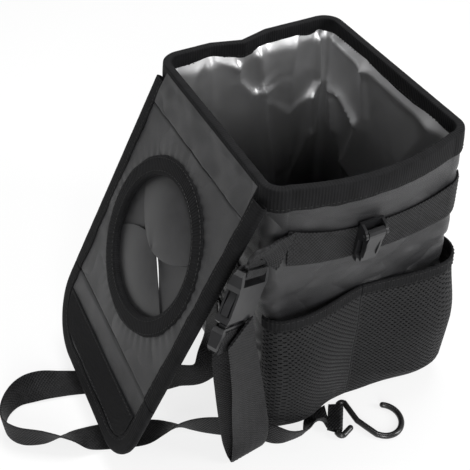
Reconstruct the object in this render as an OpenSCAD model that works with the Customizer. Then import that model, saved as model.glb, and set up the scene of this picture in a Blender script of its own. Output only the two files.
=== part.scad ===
// Car trash bin: a sewn tub with a film liner, a hinged lid with rubber petals, two mesh pockets,
// a webbing strap with a side-release buckle and a second strap that carries a wire hook.
// The origin is the middle of the base, on the floor. The pockets face -Y and the lid hangs at -X.

/* [Tub] */
// Height of the tub, to the top of the rim
body_h = 250; // [220:1:290]
// Width of the base, left to right
base_w = 156; // [140:1:180]
// Width at the belly
belly_w = 161; // [144:1:186]
// Width at the rim
rim_w = 152; // [136:1:172]
// Depth of the base, front to back
base_d = 184; // [166:1:210]
// Depth at the belly
belly_d = 189; // [170:1:216]
// Depth at the rim
rim_d = 182; // [164:1:204]
// Radius of the upright corners
corner_r = 14; // [8:1:24]
// How far the front rim bows out at its middle
rim_bow = 12; // [0:1:20]
// Depth of the kink in the back rim
rim_kink = 7; // [0:1:12]
// Thickness of the sewn wall
wall = 1.6; // [1:0.1:3]
// Thickness of the liner film
film = 0.9; // [0.6:0.1:1.5]
// Depth of the crumples in the liner
crumple = 6; // [0:0.5:9]
// Thickness of the stiffener in the base
board_t = 2.4; // [1.5:0.1:4]

/* [Binding and webbing] */
// Height of the rim tape outside
tape_h = 17; // [10:1:24]
// Thickness of the tape
tape_t = 1.2; // [0.8:0.1:2]
// Width of the wide webbing
web_w = 30; // [25:1:38]
// Thickness of the wide webbing
web_t = 1.6; // [1:0.1:2.4]
// Height of the middle of the front and back bands
band_z = 187; // [170:1:200]
// How much higher the front band sits at its left end
band_sag = 16; // [0:1:20]
// Width of the loop tape that the lid's flap closes on
loop_w = 30; // [16:1:36]

/* [Pockets] */
// Height of the pockets
pocket_h = 138; // [100:1:150]
// How far each pocket bulges
pocket_bulge = 19; // [12:1:24]
// Height of the elastic at the pockets' mouth
elastic_h = 11; // [8:1:16]
// Thickness of the mesh
mesh_t = 1; // [0.8:0.1:1.6]
// Open cells across each pocket
mesh_cols = 8; // [4:1:10]
// Open cells up each pocket
mesh_rows = 7; // [4:1:9]

/* [Lid] */
// Angle between the hanging lid and the upright
lid_lean = 28.6; // [20:0.2:40]
// Width of the lid
lid_w = 175; // [160:1:182]
// How far the lid sits towards the front
lid_shift = 3; // [0:0.5:6]
// Length of the hinge cloth
hinge_l = 22; // [14:1:30]
// Length of the stiff panel
panel_l = 166; // [140:1:180]
// Length of the flap
flap_l = 66; // [50:1:80]
// Thickness of the covered panel
panel_t = 3.4; // [2.6:0.1:5]
// Thickness of the board inside the panel
lid_board_t = 2; // [1:0.1:2.4]
// Radius of the flap's front corner
flap_r = 32; // [10:1:40]
// Radius of the flap's back corner
flap_far_r = 52; // [10:1:56]
// Width of the lid's edge tape
edge_tape = 13; // [8:1:18]
// Radius of the hole in the lid
hole_r = 53; // [40:1:60]
// Width of the tape round the hole
hole_tape = 15; // [8:1:18]
// Thickness of a rubber petal
petal_t = 0.8; // [0.6:0.1:1.2]
// Width of the hook tape on the flap
hook_tape_w = 30; // [16:1:36]

/* [Buckle] */
// Width of the buckle
buckle_w = 40; // [38:1:50]
// Thickness of the buckle
buckle_t = 9.5; // [9:0.5:12]
// Length of the female half
female_l = 37; // [32:1:44]
// Length of the male half that shows
male_l = 16; // [14:1:20]
// Radius of the bars that the webbing goes round
bar_r = 2; // [1.5:0.1:2.4]

/* [Bag clip] */
// Width of the clip
clip_w = 18; // [12:1:24]
// Height of the clip
clip_h = 36; // [28:1:44]
// Radius of the clip's pin
clip_pin_r = 1.2; // [0.8:0.1:1.6]

/* [Hook] */
// Width of the hook strap
strap_w = 25; // [20:1:30]
// Thickness of the hook strap
strap_t = 1.5; // [1:0.1:2]
// Radius of the hook's wire
wire_r = 2.5; // [1.5:0.1:3.5]
// Radius of the hook's bowl, to the middle of the wire
bowl_r = 15; // [10:0.5:20]

/* [Hidden] */
$fn = 48;

// Gaps between pieces that only touch
seat = 0.3;
skin_gap = 0.6;
cut = 1;

// Heights at which the tub's wall has a ring of points
band_lo = band_z - web_w / 2;
band_hi = band_z + web_w / 2;
tape_z = body_h - tape_h;
wall_top = body_h - tape_t - seat;
floor_t = wall;
board_z = floor_t + seat;
liner_z = board_z + board_t + seat;
tub_rows = [0, 7, 30, 60, 92, 122, pocket_h, band_lo, band_hi, tape_z, wall_top];
front_cols = 14;
side_cols = 12;
corner_cols = 4;

function lerp(a, b, t) = a + (b - a) * t;
function smooth(t) = let (c = max(0, min(1, t))) c * c * (3 - 2 * c);
function unit(v) = v / norm(v);

// Half sizes of the tub at a height: base, belly and rim joined by one parabola
function bulged(base, belly, rim, z) = let (t = max(0, min(1, z / body_h)), m = 2 * belly - (base + rim) / 2)
    (base * (1 - t) * (1 - t) + 2 * m * t * (1 - t) + rim * t * t) / 2;
function half_w(z) = bulged(base_w, belly_w, rim_w, z);
function half_d(z) = bulged(base_d, belly_d, rim_d, z);

// The front bows out towards the rim and has slow waves; both fade out at the corners
fold_depth = 1;
fold_top = 120;
fold_fade = 30;
function front_swell(x, xc, z) = let (f = 1 - pow(min(1, abs(x) / xc), 2))
    f * (rim_bow * smooth((z - band_lo) / (body_h - band_lo)) + fold_depth * sin(6 * x + 3 * z) * sin(2.5 * z + 30)
        * (1 - smooth((z - fold_top) / fold_fade)));
// The back rim is kinked inwards at one place
kink_x = -9;
kink_half = 24;
kink_low = 54;
kink_fade = 50;
function back_dent(x, z) = rim_kink * max(0, 1 - abs(x - kink_x) / kink_half)
    * smooth((z - body_h + kink_low) / kink_fade);
side_swell_depth = 1.5;
function side_swell(y, yc, z) = side_swell_depth * (1 - pow(min(1, abs(y) / yc), 2)) * sin(180 * z / body_h);

// A point of the tub's wall at station s and height z, set in from the outside by off. The stations run
// anticlockwise from the front's left end: front, corner, right, corner, back, corner, left, corner.
s_corner_1 = front_cols;
s_right = s_corner_1 + corner_cols;
s_corner_2 = s_right + side_cols;
s_back = s_corner_2 + corner_cols;
s_corner_3 = s_back + front_cols;
s_left = s_corner_3 + corner_cols;
s_corner_4 = s_left + side_cols;
function station(s, z, off) = let (
        r = max(2, corner_r - off), xc = half_w(z) - corner_r, yc = half_d(z) - corner_r,
        w = half_w(z) - off, d = half_d(z) - off,
        t = s < 0 ? s + s_corner_4 + corner_cols : s,
        cx = w - r, cy = d - r)
    t < s_corner_1 ? let (x = lerp(-xc, xc, t / front_cols)) [x, -d - front_swell(x, xc, z), z]
    : t < s_right ? turn_point(cx, -cy, r, -90 + 90 * (t - s_corner_1) / corner_cols, z)
    : t < s_corner_2 ? let (y = lerp(-yc, yc, (t - s_right) / side_cols)) [w + side_swell(y, yc, z), y, z]
    : t < s_back ? turn_point(cx, cy, r, 90 * (t - s_corner_2) / corner_cols, z)
    : t < s_corner_3 ? let (x = lerp(xc, -xc, (t - s_back) / front_cols)) [x, d - back_dent(x, z), z]
    : t < s_left ? turn_point(-cx, cy, r, 90 + 90 * (t - s_corner_3) / corner_cols, z)
    : t < s_corner_4 ? [-w, lerp(yc, -yc, (t - s_left) / side_cols), z]
    : turn_point(-cx, -cy, r, 180 + 90 * (t - s_corner_4) / corner_cols, z);
function turn_point(cx, cy, r, a, z) = [cx + r * cos(a), cy + r * sin(a), z];
function ring(z, off) = [for (s = [0 : ring_n - 1]) station(s, z, off)];
ring_n = 2 * (front_cols + side_cols) + 4 * corner_cols;

// The tub's front face, corners included, as a function of x and z
function front_y(x, z) = let (xc = half_w(z) - corner_r, over = max(0, abs(x) - xc))
    corner_r - half_d(z) - sqrt(max(0, corner_r * corner_r - over * over)) - front_swell(x, xc, z);

// Faces between rings of n points each; the first and last rings are capped by a fan. From the row named back
// on the rings run downwards, so their quads are cut along the other diagonal and both skins match
function side_faces(rows, n, wrap, back) = [for (k = [0 : rows - (wrap ? 1 : 2)], i = [0 : n - 1])
    let (a = k * n + i, b = k * n + (i + 1) % n, k2 = (k + 1) % rows, c = k2 * n + i, d = k2 * n + (i + 1) % n)
    each k < back ? [[a, c, d], [a, d, b]] : [[a, c, b], [c, d, b]]];
function flat(rings) = [for (r = rings) each r];
function middle(r) = [for (k = [0 : 2]) [for (p = r) 1] * [for (p = r) p[k]] / len(r)];

module loft(rings, back = 1000) {
    n = len(rings[0]);
    rows = len(rings);
    total = n * rows;
    points = concat(flat(rings), [middle(rings[0]), middle(rings[rows - 1])]);
    ends = [for (i = [0 : n - 1]) each [[total, i, (i + 1) % n],
        [total + 1, total - n + (i + 1) % n, total - n + i]]];
    polyhedron(points = points, faces = concat(side_faces(rows, n, false, back), ends), convexity = 8);
}

// As loft, for thin curved rings whose second half runs back beside the first
module thin_loft(rings) {
    n = len(rings[0]);
    rows = len(rings);
    last = n * (rows - 1);
    ends = [for (j = [0 : n / 2 - 2]) let (a = j, b = j + 1, c = n - 2 - j, d = n - 1 - j)
        each [[a, b, c], [a, c, d], [last + c, last + b, last + a], [last + d, last + c, last + a]]];
    polyhedron(points = flat(rings), faces = concat(side_faces(rows, n, false, rows), ends), convexity = 8);
}

module closed_loft(rings) {
    rows = len(rings);
    polyhedron(points = flat(rings), faces = side_faces(rows, len(rings[0]), true, rows), convexity = 8);
}

// A strip that lies on the tub between two heights, from one station to another; rise lifts it along its way
module wall_strip(z_lo, z_hi, first, last, thick, rise = function (x) 0) {
    loft([for (s = [first : last]) let (
            dz = rise(station(s, z_lo, 0)[0]), lo = z_lo + dz, hi = z_hi + dz)
        [station(s, lo, -skin_gap - thick), station(s, lo, -skin_gap),
            station(s, hi, -skin_gap), station(s, hi, -skin_gap - thick)]]);
}

module body_shell() {
    outer = [for (z = tub_rows) ring(z, 0)];
    inner = [for (k = [len(tub_rows) - 1 : -1 : 1]) ring(tub_rows[k], wall)];
    color([0.07, 0.07, 0.075]) loft(concat(outer, inner, [ring(floor_t, wall)]));
}

// Creases of the film: two families of diagonal folds that meet in diamonds
liner_out = wall + seat;
function crease(i, k) = let (
        diamond = abs(((i + 2 * k) % 6) - 3) / 3,
        other = abs(((2 * i - k + 40) % 7) - 3.5) / 3.5)
    crumple * (0.25 + 0.75 * diamond * other);
liner_foot = 12;
liner_rows = concat([liner_z], [for (k = [0 : 9]) lerp(liner_z + liner_foot, tape_z, k / 9)], [wall_top]);
crumple_top = tape_z - 1;
function crumple_fade(z) = smooth((crumple_top - z) / 30) * smooth((z - liner_z) / 10);
function crumpled(z, k, off) = let (c = crumple_fade(z), plain = ring(z, off), deep = ring(z, off + crumple))
    [for (i = [0 : ring_n - 1]) lerp(plain[i], deep[i], c * crease(i, k) / max(0.1, crumple))];

module liner() {
    rows = len(liner_rows);
    outer = [for (k = [0 : rows - 1]) crumpled(liner_rows[k], k, liner_out)];
    inner = [for (k = [rows - 1 : -1 : 1]) crumpled(liner_rows[k], k, liner_out + film)];
    color([0.62, 0.62, 0.64]) loft(concat(outer, inner, [ring(liner_z + film, liner_out + film)]), rows);
}

// A rounded rectangle made of squares and circles
module rounded_rect(w, d, r) {
    square([w - 2 * r, d], center = true);
    square([w, d - 2 * r], center = true);
    for (sx = [-1, 1], sy = [-1, 1]) translate([sx * (w / 2 - r), sy * (d / 2 - r)]) circle(r);
}

module base_board() {
    board_gap = wall + 3;
    color([0.12, 0.12, 0.12]) translate([0, 0, board_z]) linear_extrude(board_t)
        rounded_rect(base_w - 2 * board_gap, base_d - 2 * board_gap, corner_r - 4);
}

// Folded tape over the top of the wall and the liner
module rim_binding() {
    inside = liner_out + film + seat;
    inner_z = body_h - 0.8 * tape_h;
    round_off = 0.7;
    profile = [[-skin_gap - tape_t, tape_z], [-skin_gap, tape_z], [-skin_gap, body_h - tape_t],
        [inside, body_h - tape_t], [inside, inner_z], [inside + tape_t, inner_z],
        [inside + tape_t, body_h - round_off], [inside + tape_t - round_off, body_h],
        [-skin_gap - tape_t + round_off, body_h], [-skin_gap - tape_t, body_h - round_off]];
    color([0.05, 0.05, 0.055]) closed_loft([for (i = [0 : ring_n - 1]) [for (p = profile) ring(p[1], p[0])[i]]]);
}

// Webbing sewn across the front, higher at its ends, and webbing sewn across the back
sag_x = 16;
sag_reach = 86;
band_rise = function (x) band_sag * pow((x - sag_x) / sag_reach, 2);
module front_band() {
    color([0.06, 0.06, 0.065]) wall_strip(band_lo, band_hi, 0, s_corner_1 + 3, web_t, band_rise);
}

module back_band() {
    color([0.06, 0.06, 0.065]) wall_strip(band_lo, band_hi, s_corner_2 + 2, s_left, web_t);
}

// Loop tape on the right wall, under the rim tape
module loop_tape() {
    loop_t = 1;
    top = tape_z - 1;
    color([0.1, 0.1, 0.1]) wall_strip(top - loop_w, top, s_right + 1, s_corner_2 - 1, loop_t);
}

// Pockets: a bulging wall of open cells under an elastic. Each pocket runs from the middle of the front
// to a place given in mm along the wall: past the right corner, or into the left one.
pocket_foot = 3;
elastic_t = 2;
pocket_right = base_w / 2 + 20;
pocket_left = base_w / 2 + 2;
corner_len = corner_r * 1.57;
mesh_top = pocket_h - elastic_h - seat;
// Station at a distance along the wall from the middle of the front
function along(mm, z) = let (xc = half_w(z) - corner_r, d = abs(mm), side = sign(mm))
    d <= xc ? front_cols / 2 + side * front_cols / 2 * d / xc
    : side < 0 ? -corner_cols * (d - xc) / corner_len
    : d <= xc + corner_len ? s_corner_1 + corner_cols * (d - xc) / corner_len
    : s_right + side_cols * (d - xc - corner_len) / (2 * half_d(z) - 2 * corner_r);
function lobe(u) = pow(max(0, sin(180 * pow(u, 1.5))), 0.8);
mouth_part = 0.4;
swell_rise = 24;
swell_top = 70;
function swell(z) = sqrt(min(1, (z - pocket_foot + 1) / swell_rise))
    * (1 - (1 - mouth_part) * smooth((z - swell_top) / (pocket_h - swell_top)));
// A point of a pocket at the fraction u from the middle, out by more than the mesh's inner face
function pocket_at(u, z, end, out) = let (mm = seat * sign(end) + u * (end - seat * sign(end)))
    station(along(mm, z), z, -skin_gap - out - pocket_bulge * lobe(abs(u)) * swell(z));

module pocket_mesh(end) {
    nx = mesh_cols;
    nz = mesh_rows;
    inset = 0.14;
    flip = end < 0;
    // Places in one cell: its four corners and the four tips of its opening
    tips = [[0.5, inset], [1 - inset, 0.5], [0.5, 1 - inset], [inset, 0.5]];
    function place(i, j, back) = let (u = flip ? 1 - i / nx : i / nx, z = lerp(pocket_foot, mesh_top, j / nz))
        pocket_at(u, z, end, back ? 0 : mesh_t);
    corners = (nx + 1) * (nz + 1);
    layer = corners + 4 * nx * nz;
    points = [for (back = [false, true]) each concat(
        [for (j = [0 : nz], i = [0 : nx]) place(i, j, back)],
        [for (j = [0 : nz - 1], i = [0 : nx - 1], t = tips) place(i + t[0], j + t[1], back)])];
    function c(i, j) = j * (nx + 1) + i;
    function d(i, j, t) = corners + 4 * (j * nx + i) + t % 4;
    cells = [for (j = [0 : nz - 1], i = [0 : nx - 1]) let (q = [c(i, j), c(i + 1, j), c(i + 1, j + 1), c(i, j + 1)])
        each [for (t = [0 : 3]) each [[q[t], d(i, j, t), q[(t + 1) % 4]], [q[(t + 1) % 4], d(i, j, t), d(i, j, t + 1)]]]];
    holes = [for (j = [0 : nz - 1], i = [0 : nx - 1], t = [0 : 3]) let (a = d(i, j, t), b = d(i, j, t + 1))
        each [[a, a + layer, b], [b, a + layer, b + layer]]];
    edge = concat([for (i = [0 : nx - 1]) c(i, 0)], [for (j = [0 : nz - 1]) c(nx, j)],
        [for (i = [nx : -1 : 1]) c(i, nz)], [for (j = [nz : -1 : 1]) c(0, j)]);
    rim = [for (k = [0 : len(edge) - 1]) let (a = edge[k], b = edge[(k + 1) % len(edge)])
        each [[a, b, a + layer], [b, b + layer, a + layer]]];
    polyhedron(points = points, faces = concat(cells, [for (f = cells) [f[2] + layer, f[1] + layer, f[0] + layer]],
        holes, rim), convexity = 10);
}

module pocket_elastic(end) {
    steps = 14;
    lo = pocket_h - elastic_h;
    flip = end < 0;
    color([0.05, 0.05, 0.055]) loft([for (i = [0 : steps]) let (u = flip ? 1 - i / steps : i / steps)
        [pocket_at(u, lo, end, elastic_t), pocket_at(u, lo, end, 0),
            pocket_at(u, pocket_h, end, 0), pocket_at(u, pocket_h, end, elastic_t)]]);
}

module pocket_mesh_left() {
    color([0.05, 0.05, 0.05]) pocket_mesh(-pocket_left);
}
module pocket_mesh_right() {
    color([0.05, 0.05, 0.05]) pocket_mesh(pocket_right);
}
module pocket_elastic_left() {
    pocket_elastic(-pocket_left);
}
module pocket_elastic_right() {
    pocket_elastic(pocket_right);
}

// Bag clip on the front band: a base with two ears, a pin and a tapered lever. It is drawn upright on the
// plane y = 0, with z = 0 at its middle, and leans with the wall.
clip_x = -4;
clip_plate = 2;
clip_top = clip_h / 2;
clip_bottom = -clip_h / 2;
clip_pin_y = -clip_plate - 5;
clip_pin_z = clip_top - 7;
ear_t = 2;
clip_fit = 0.05;
lever_w = clip_w - 2 * ear_t - 1;
clip_y_lo = front_y(clip_x, band_lo);
clip_y_hi = front_y(clip_x, band_hi);
clip_lean = atan2(clip_y_lo - clip_y_hi, web_w);
clip_z = band_z + 4;

module across(w) {
    translate([clip_x, (clip_y_lo + clip_y_hi) / 2 - (skin_gap + web_t + seat) / cos(clip_lean), band_z])
        rotate([clip_lean, 0, 0]) translate([-w / 2, 0, clip_z - band_z]) rotate([90, 0, 90]) linear_extrude(w) children();
}

// Side ears and ribs stand at x = s * dx from the clip's middle
module ears(dx, w) {
    for (s = [-1, 1]) translate([s * dx, 0, 0]) across(w) children();
}

module clip_base() {
    color([0.09, 0.09, 0.1]) difference() {
        union() {
            across(clip_w) polygon([[0, clip_bottom], [0, clip_top], [-clip_plate, clip_top],
                [-clip_plate, clip_bottom + 6], [-clip_plate - 2.5, clip_bottom + 4], [-clip_plate - 2.5, clip_bottom]]);
            ears((clip_w - ear_t) / 2, ear_t) {
                polygon([[-1, clip_top], [clip_pin_y, clip_top - 2], [clip_pin_y - 3, clip_pin_z],
                    [clip_pin_y, clip_pin_z - 4], [-1, clip_pin_z - 9]]);
                translate([clip_pin_y, clip_pin_z]) circle(3.2);
            }
        }
        across(clip_w + 2 * cut) translate([clip_pin_y, clip_pin_z]) circle(clip_pin_r);
    }
}

module clip_lever() {
    pad_y = -clip_plate - 2.5 - seat;
    color([0.2, 0.2, 0.21]) difference() {
        union() {
            across(lever_w) polygon([[clip_pin_y - 3.2, clip_pin_z - 1], [clip_pin_y - 3.2, clip_pin_z + 1.5],
                [clip_pin_y - 2, clip_pin_z + 3.4], [clip_pin_y + 0.6, clip_pin_z + 4], [clip_pin_y + 2.6, clip_pin_z + 2.4],
                [clip_pin_y + 3, clip_pin_z], [clip_pin_y + 2.6, clip_pin_z - 3], [pad_y, clip_bottom + 9],
                [pad_y, clip_bottom + 1], [pad_y - 1.6, clip_bottom + 0.6], [pad_y - 2.4, clip_bottom + 10]]);
            // Ribs beside the lever's edges
            ears(lever_w / 2 - 1.2, 1.6) polygon([[clip_pin_y - 1, clip_pin_z - 2.5], [pad_y - 1, clip_bottom + 4],
                [pad_y - 3, clip_bottom + 6], [pad_y - 4, clip_bottom + 14], [clip_pin_y - 2.4, clip_pin_z - 2.5]]);
        }
        across(clip_w) translate([clip_pin_y, clip_pin_z]) circle(clip_pin_r + clip_fit);
    }
}

module clip_pin() {
    color([0.5, 0.5, 0.52]) across(clip_w) translate([clip_pin_y, clip_pin_z]) circle(clip_pin_r);
}

// The lid is drawn closed, with u along +X from the hinge and its inner face down, then swung open
hinge_reach = 6;
hinge_x = -rim_w / 2 - skin_gap - tape_t - hinge_reach;
hinge_z = body_h - 4;
lid_swing = 270 - lid_lean;
inner_w = body_h - hinge_z + 0.4;
edge_t = 0.9;
panel_u = hinge_l;
flap_u = hinge_l + panel_l;
lid_end = flap_u + flap_l;
hole_u = panel_u + panel_l / 2 - 2;
fold_gap = 0.3;

module on_lid(w) {
    translate([hinge_x, -lid_shift, hinge_z]) rotate([0, -lid_swing, 0]) translate([0, 0, inner_w + w]) children();
}

// Outline of the flap from u0 to u1, set in by inset; its free corners are round
module flap_outline(u0, u1, inset) {
    half = lid_w / 2 - inset;
    end = u1 - inset;
    near = max(0.5, flap_r - inset);
    far = max(0.5, flap_far_r - inset);
    intersection() {
        translate([u0, -half]) square([end - u0, 2 * half]);
        union() {
            translate([u0 - cut, -half]) square([end - near - u0 + cut, half]);
            translate([u0 - cut, -half]) square([end - far - u0 + cut, 2 * half]);
            translate([u0 - cut, near - half]) square([end - u0 + cut, 2 * half - near - far]);
            translate([end - near, near - half]) circle(near);
            translate([end - far, half - far]) circle(far);
        }
    }
}

module hinge_cloth() {
    color([0.08, 0.08, 0.085]) on_lid(0) translate([0, edge_tape - lid_w / 2 + seat, 0])
        cube([hinge_l - seat, lid_w - 2 * (edge_tape + seat), edge_t]);
}

cover_z = edge_t;
tape_full = 2 * edge_t + panel_t;
edge_wrap = 1;
module lid_cover() {
    cavity = 0.5;
    half = lid_w / 2 - edge_wrap - seat;
    color([0.09, 0.09, 0.095]) on_lid(cover_z) difference() {
        translate([panel_u, -half, 0]) cube([panel_l - fold_gap, 2 * half, panel_t]);
        translate([hole_u, 0, -cut]) cylinder(r = hole_r + edge_wrap + seat, h = panel_t + 2 * cut);
        difference() {
            translate([panel_u + 2, -half + 2, cavity]) cube([panel_l - 4 - fold_gap, 2 * half - 4, panel_t - 2 * cavity]);
            translate([hole_u, 0, 0]) cylinder(r = hole_r + 5, h = panel_t);
        }
    }
}

module lid_board() {
    half = lid_w / 2 - edge_wrap - seat - 2 - seat;
    color([0.2, 0.2, 0.2]) on_lid(cover_z + (panel_t - lid_board_t) / 2) difference() {
        translate([panel_u + 2 + seat, -half, 0]) cube([panel_l - 4 - 3 * seat, 2 * half, lid_board_t]);
        translate([hole_u, 0, -cut]) cylinder(r = hole_r + 5 + seat, h = lid_board_t + 2 * cut);
    }
}

// Edge tape: a channel that wraps the side of the panel
tape_u = 7;
module side_tape(s) {
    color([0.05, 0.05, 0.055]) on_lid(0) translate([tape_u, 0, 0]) difference() {
        translate([0, s > 0 ? lid_w / 2 - edge_tape : -lid_w / 2, 0])
            cube([flap_u - fold_gap - tape_u, edge_tape, tape_full]);
        translate([-cut, s > 0 ? lid_w / 2 - edge_tape - cut : edge_wrap - lid_w / 2, edge_t])
            cube([flap_u + 2 * cut, edge_tape - edge_wrap + cut, panel_t]);
    }
}

module lid_tape_near() {
    side_tape(-1);
}

module lid_tape_far() {
    side_tape(1);
}

// Tape round the hole: one leg on the inner face and a web through the hole
petal_low = tape_full - edge_t + seat;
petal_rise = 1.5;
petal_high = petal_low + petal_rise + petal_t;
ring_web = 1;
module hole_binding() {
    color([0.05, 0.05, 0.055]) on_lid(0) translate([hole_u, 0, 0]) rotate_extrude() {
        translate([hole_r, edge_t - tape_t]) square([hole_tape, tape_t]);
        translate([hole_r, edge_t - tape_t]) square([ring_web, tape_full - 2 * edge_t + tape_t]);
    }
}

// A second tape on the outer face holds the petals' edges
module petal_ring() {
    color([0.05, 0.05, 0.055]) on_lid(0) translate([hole_u, 0, 0]) rotate_extrude() {
        translate([hole_r + 2, petal_high + seat]) square([hole_tape - 2, tape_t]);
        translate([hole_r + hole_tape - ring_web, tape_full - edge_t])
            square([ring_web, petal_high + 2 * seat + edge_t - tape_full]);
    }
}

// A petal is a rubber leaf with its tip near the middle; petals 1 and 3 lie over 2 and 4. Of each leaf: the way it
// points, its half angle at the rim on either side, how round either side is, its step, its dome and its tip
petal_step = petal_t + 0.4;
petal_dome = 2.8;
petal_tip = 3;
leaves = [[184, [60, 57], [0.55, 0.5], 0, petal_dome, -petal_tip],
    [272, [52, 50], [0.9, 1.12], petal_step, 0.55 * petal_dome, petal_tip / 3],
    [4, [58, 62], [0.6, 0.5], 0, 0.64 * petal_dome, -petal_tip],
    [95, [56, 56], [0.7, 0.7], petal_step, 0.55 * petal_dome, petal_tip / 3]];
module petal(k) {
    leaf = leaves[k];
    r_out = hole_r + hole_tape - ring_web - 1;
    steps = 12;
    parts = [0.03, 0.36, 0.8, 1];
    function at(t, f, up) = let (
            half = leaf[1][t < 0 ? 0 : 1],
            round = leaf[2][t < 0 ? 0 : 1],
            x = leaf[5] + (r_out * cos(half * t) - leaf[5]) * f,
            y = r_out * sin(half * t) * pow(f, 1 + (round - 1) * abs(t)),
            r = norm([x, y]),
            a = leaf[0] + atan2(y, x),
            dome = leaf[4] * (1 - pow(min(1, r / hole_r), 2)))
        [r * cos(a), r * sin(a), petal_low + leaf[3] - dome + (up ? petal_t : 0)];
    n = 2 * len(parts);
    rows = [for (i = [0 : steps]) let (t = 2 * i / steps - 1) concat(
        [for (f = parts) at(t, f, true)], [for (j = [len(parts) - 1 : -1 : 0]) at(t, parts[j], false)])];
    on_lid(0) translate([hole_u, 0, 0]) thin_loft(rows);
}

module petal_1() {
    color([0.16, 0.16, 0.165]) petal(0);
}
module petal_2() {
    color([0.16, 0.16, 0.165]) petal(1);
}
module petal_3() {
    color([0.16, 0.16, 0.165]) petal(2);
}
module petal_4() {
    color([0.16, 0.16, 0.165]) petal(3);
}

// The flap folds down over the right wall when the lid is closed
module flap_cover() {
    color([0.09, 0.09, 0.095]) on_lid(cover_z) linear_extrude(panel_t)
        flap_outline(flap_u + fold_gap, lid_end, edge_wrap + seat);
}

module flap_tape() {
    color([0.05, 0.05, 0.055]) on_lid(0) difference() {
        linear_extrude(tape_full) flap_outline(flap_u + fold_gap, lid_end, 0);
        translate([0, 0, edge_t]) linear_extrude(panel_t) flap_outline(flap_u - cut, lid_end, edge_wrap);
        translate([0, 0, -cut]) linear_extrude(tape_full + 2 * cut) flap_outline(flap_u - cut, lid_end, edge_tape);
    }
}

hook_u = flap_u + 20;
module hook_tape() {
    hook_t = 1.4;
    half = lid_w / 2 - edge_tape - seat;
    color([0.08, 0.08, 0.08]) on_lid(cover_z - hook_t) difference() {
        translate([hook_u, -half, 0]) cube([hook_tape_w, 2 * half, hook_t]);
        difference() {
            translate([hook_u, -half - cut, -cut]) cube([hook_tape_w + cut, 2 * (half + cut), hook_t + 2 * cut]);
            translate([0, 0, -2 * cut]) linear_extrude(hook_t + 4 * cut)
                flap_outline(flap_u, lid_end, edge_tape + seat);
        }
    }
}

// The buckle is drawn hanging down from its bar, x across and y through, and is then turned into place
buckle_at = [-94, -103, 204.5];
buckle_turn = [3, 34, 32];
male_gap = 0.3;

module on_buckle() {
    translate(buckle_at) rotate(buckle_turn) children();
}

// Extrudes an outline drawn in x and z through the thickness t
module through(t) {
    translate([0, t / 2, 0]) rotate([90, 0, 0]) linear_extrude(t) children();
}

// Extrudes an outline drawn in y and z across the width w
module sideways(w) {
    translate([-w / 2, 0, 0]) rotate([90, 0, 90]) linear_extrude(w) children();
}

slot_half = web_w / 2 + 1;
slot_h = 5;
bar_z = -bar_r - 0.6;
throat_t = buckle_t - 4;
arm_x = buckle_w / 2 - 6;
window_top = 14;
window_l = 17;

module female_side() {
    half = buckle_t / 2;
    polygon([[-half + 2, 0], [half - 2, 0], [half, -9], [half, -female_l + 2], [half - 1, -female_l],
        [1 - half, -female_l], [-half, 2 - female_l], [-half, -9]]);
}

module female_front() {
    half = buckle_w / 2;
    polygon([[2 - half, 0], [half - 2, 0], [half, -3], [half, -10], [half - 1.5, -window_top],
        [half - 1.5, -window_top - window_l], [half, -female_l + 2], [half - 3, -female_l], [6, -female_l - 2],
        [-6, -female_l - 2], [3 - half, -female_l], [-half, -female_l + 2], [1.5 - half, -window_top - window_l],
        [1.5 - half, -window_top], [-half, -10], [-half, -3]]);
}

module buckle_female() {
    color([0.13, 0.13, 0.14]) on_buckle() difference() {
        intersection() {
            sideways(buckle_w + 2) female_side();
            through(buckle_t + 2) female_front();
        }
        // Room for the webbing all round the bar, open at the top
        sideways(2 * slot_half) translate([0, bar_z]) difference() {
            translate([-buckle_t, -bar_r - slot_h]) square([2 * buckle_t, 2 * bar_r + slot_h + 4]);
            circle(bar_r);
        }
        // Throat, open at the lower end, and the two side windows
        translate([-arm_x - 3, -throat_t / 2, -female_l - 3]) cube([2 * arm_x + 6, throat_t, female_l - 9]);
        for (s = [-1, 1]) translate([s * buckle_w / 2, 0, -window_top - window_l / 2])
            cube([9, throat_t + 1, window_l], center = true);
    }
}

// The male half in one piece: a ladder lock, two sprung arms with heads and a middle guide
arm_t = throat_t - 2 * male_gap;
lock_top = -female_l - 2 - male_gap;
lock_end = lock_top - male_l;
lock_bar_z = lock_top - 6.5;
module male_arm() {
    head = buckle_w / 2 - 0.6;
    head_top = -window_top - 1;
    head_low = male_gap - window_top - window_l + 0.2;
    polygon([[arm_x - 4, lock_top - 1], [arm_x + 1.4, lock_top - 1], [arm_x + 1, head_low - 2],
        [arm_x + 1, head_low], [head, head_low], [head, head_low + 6], [arm_x + 2, head_top],
        [arm_x - 1, head_top], [arm_x - 2.6, head_low]]);
}

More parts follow.
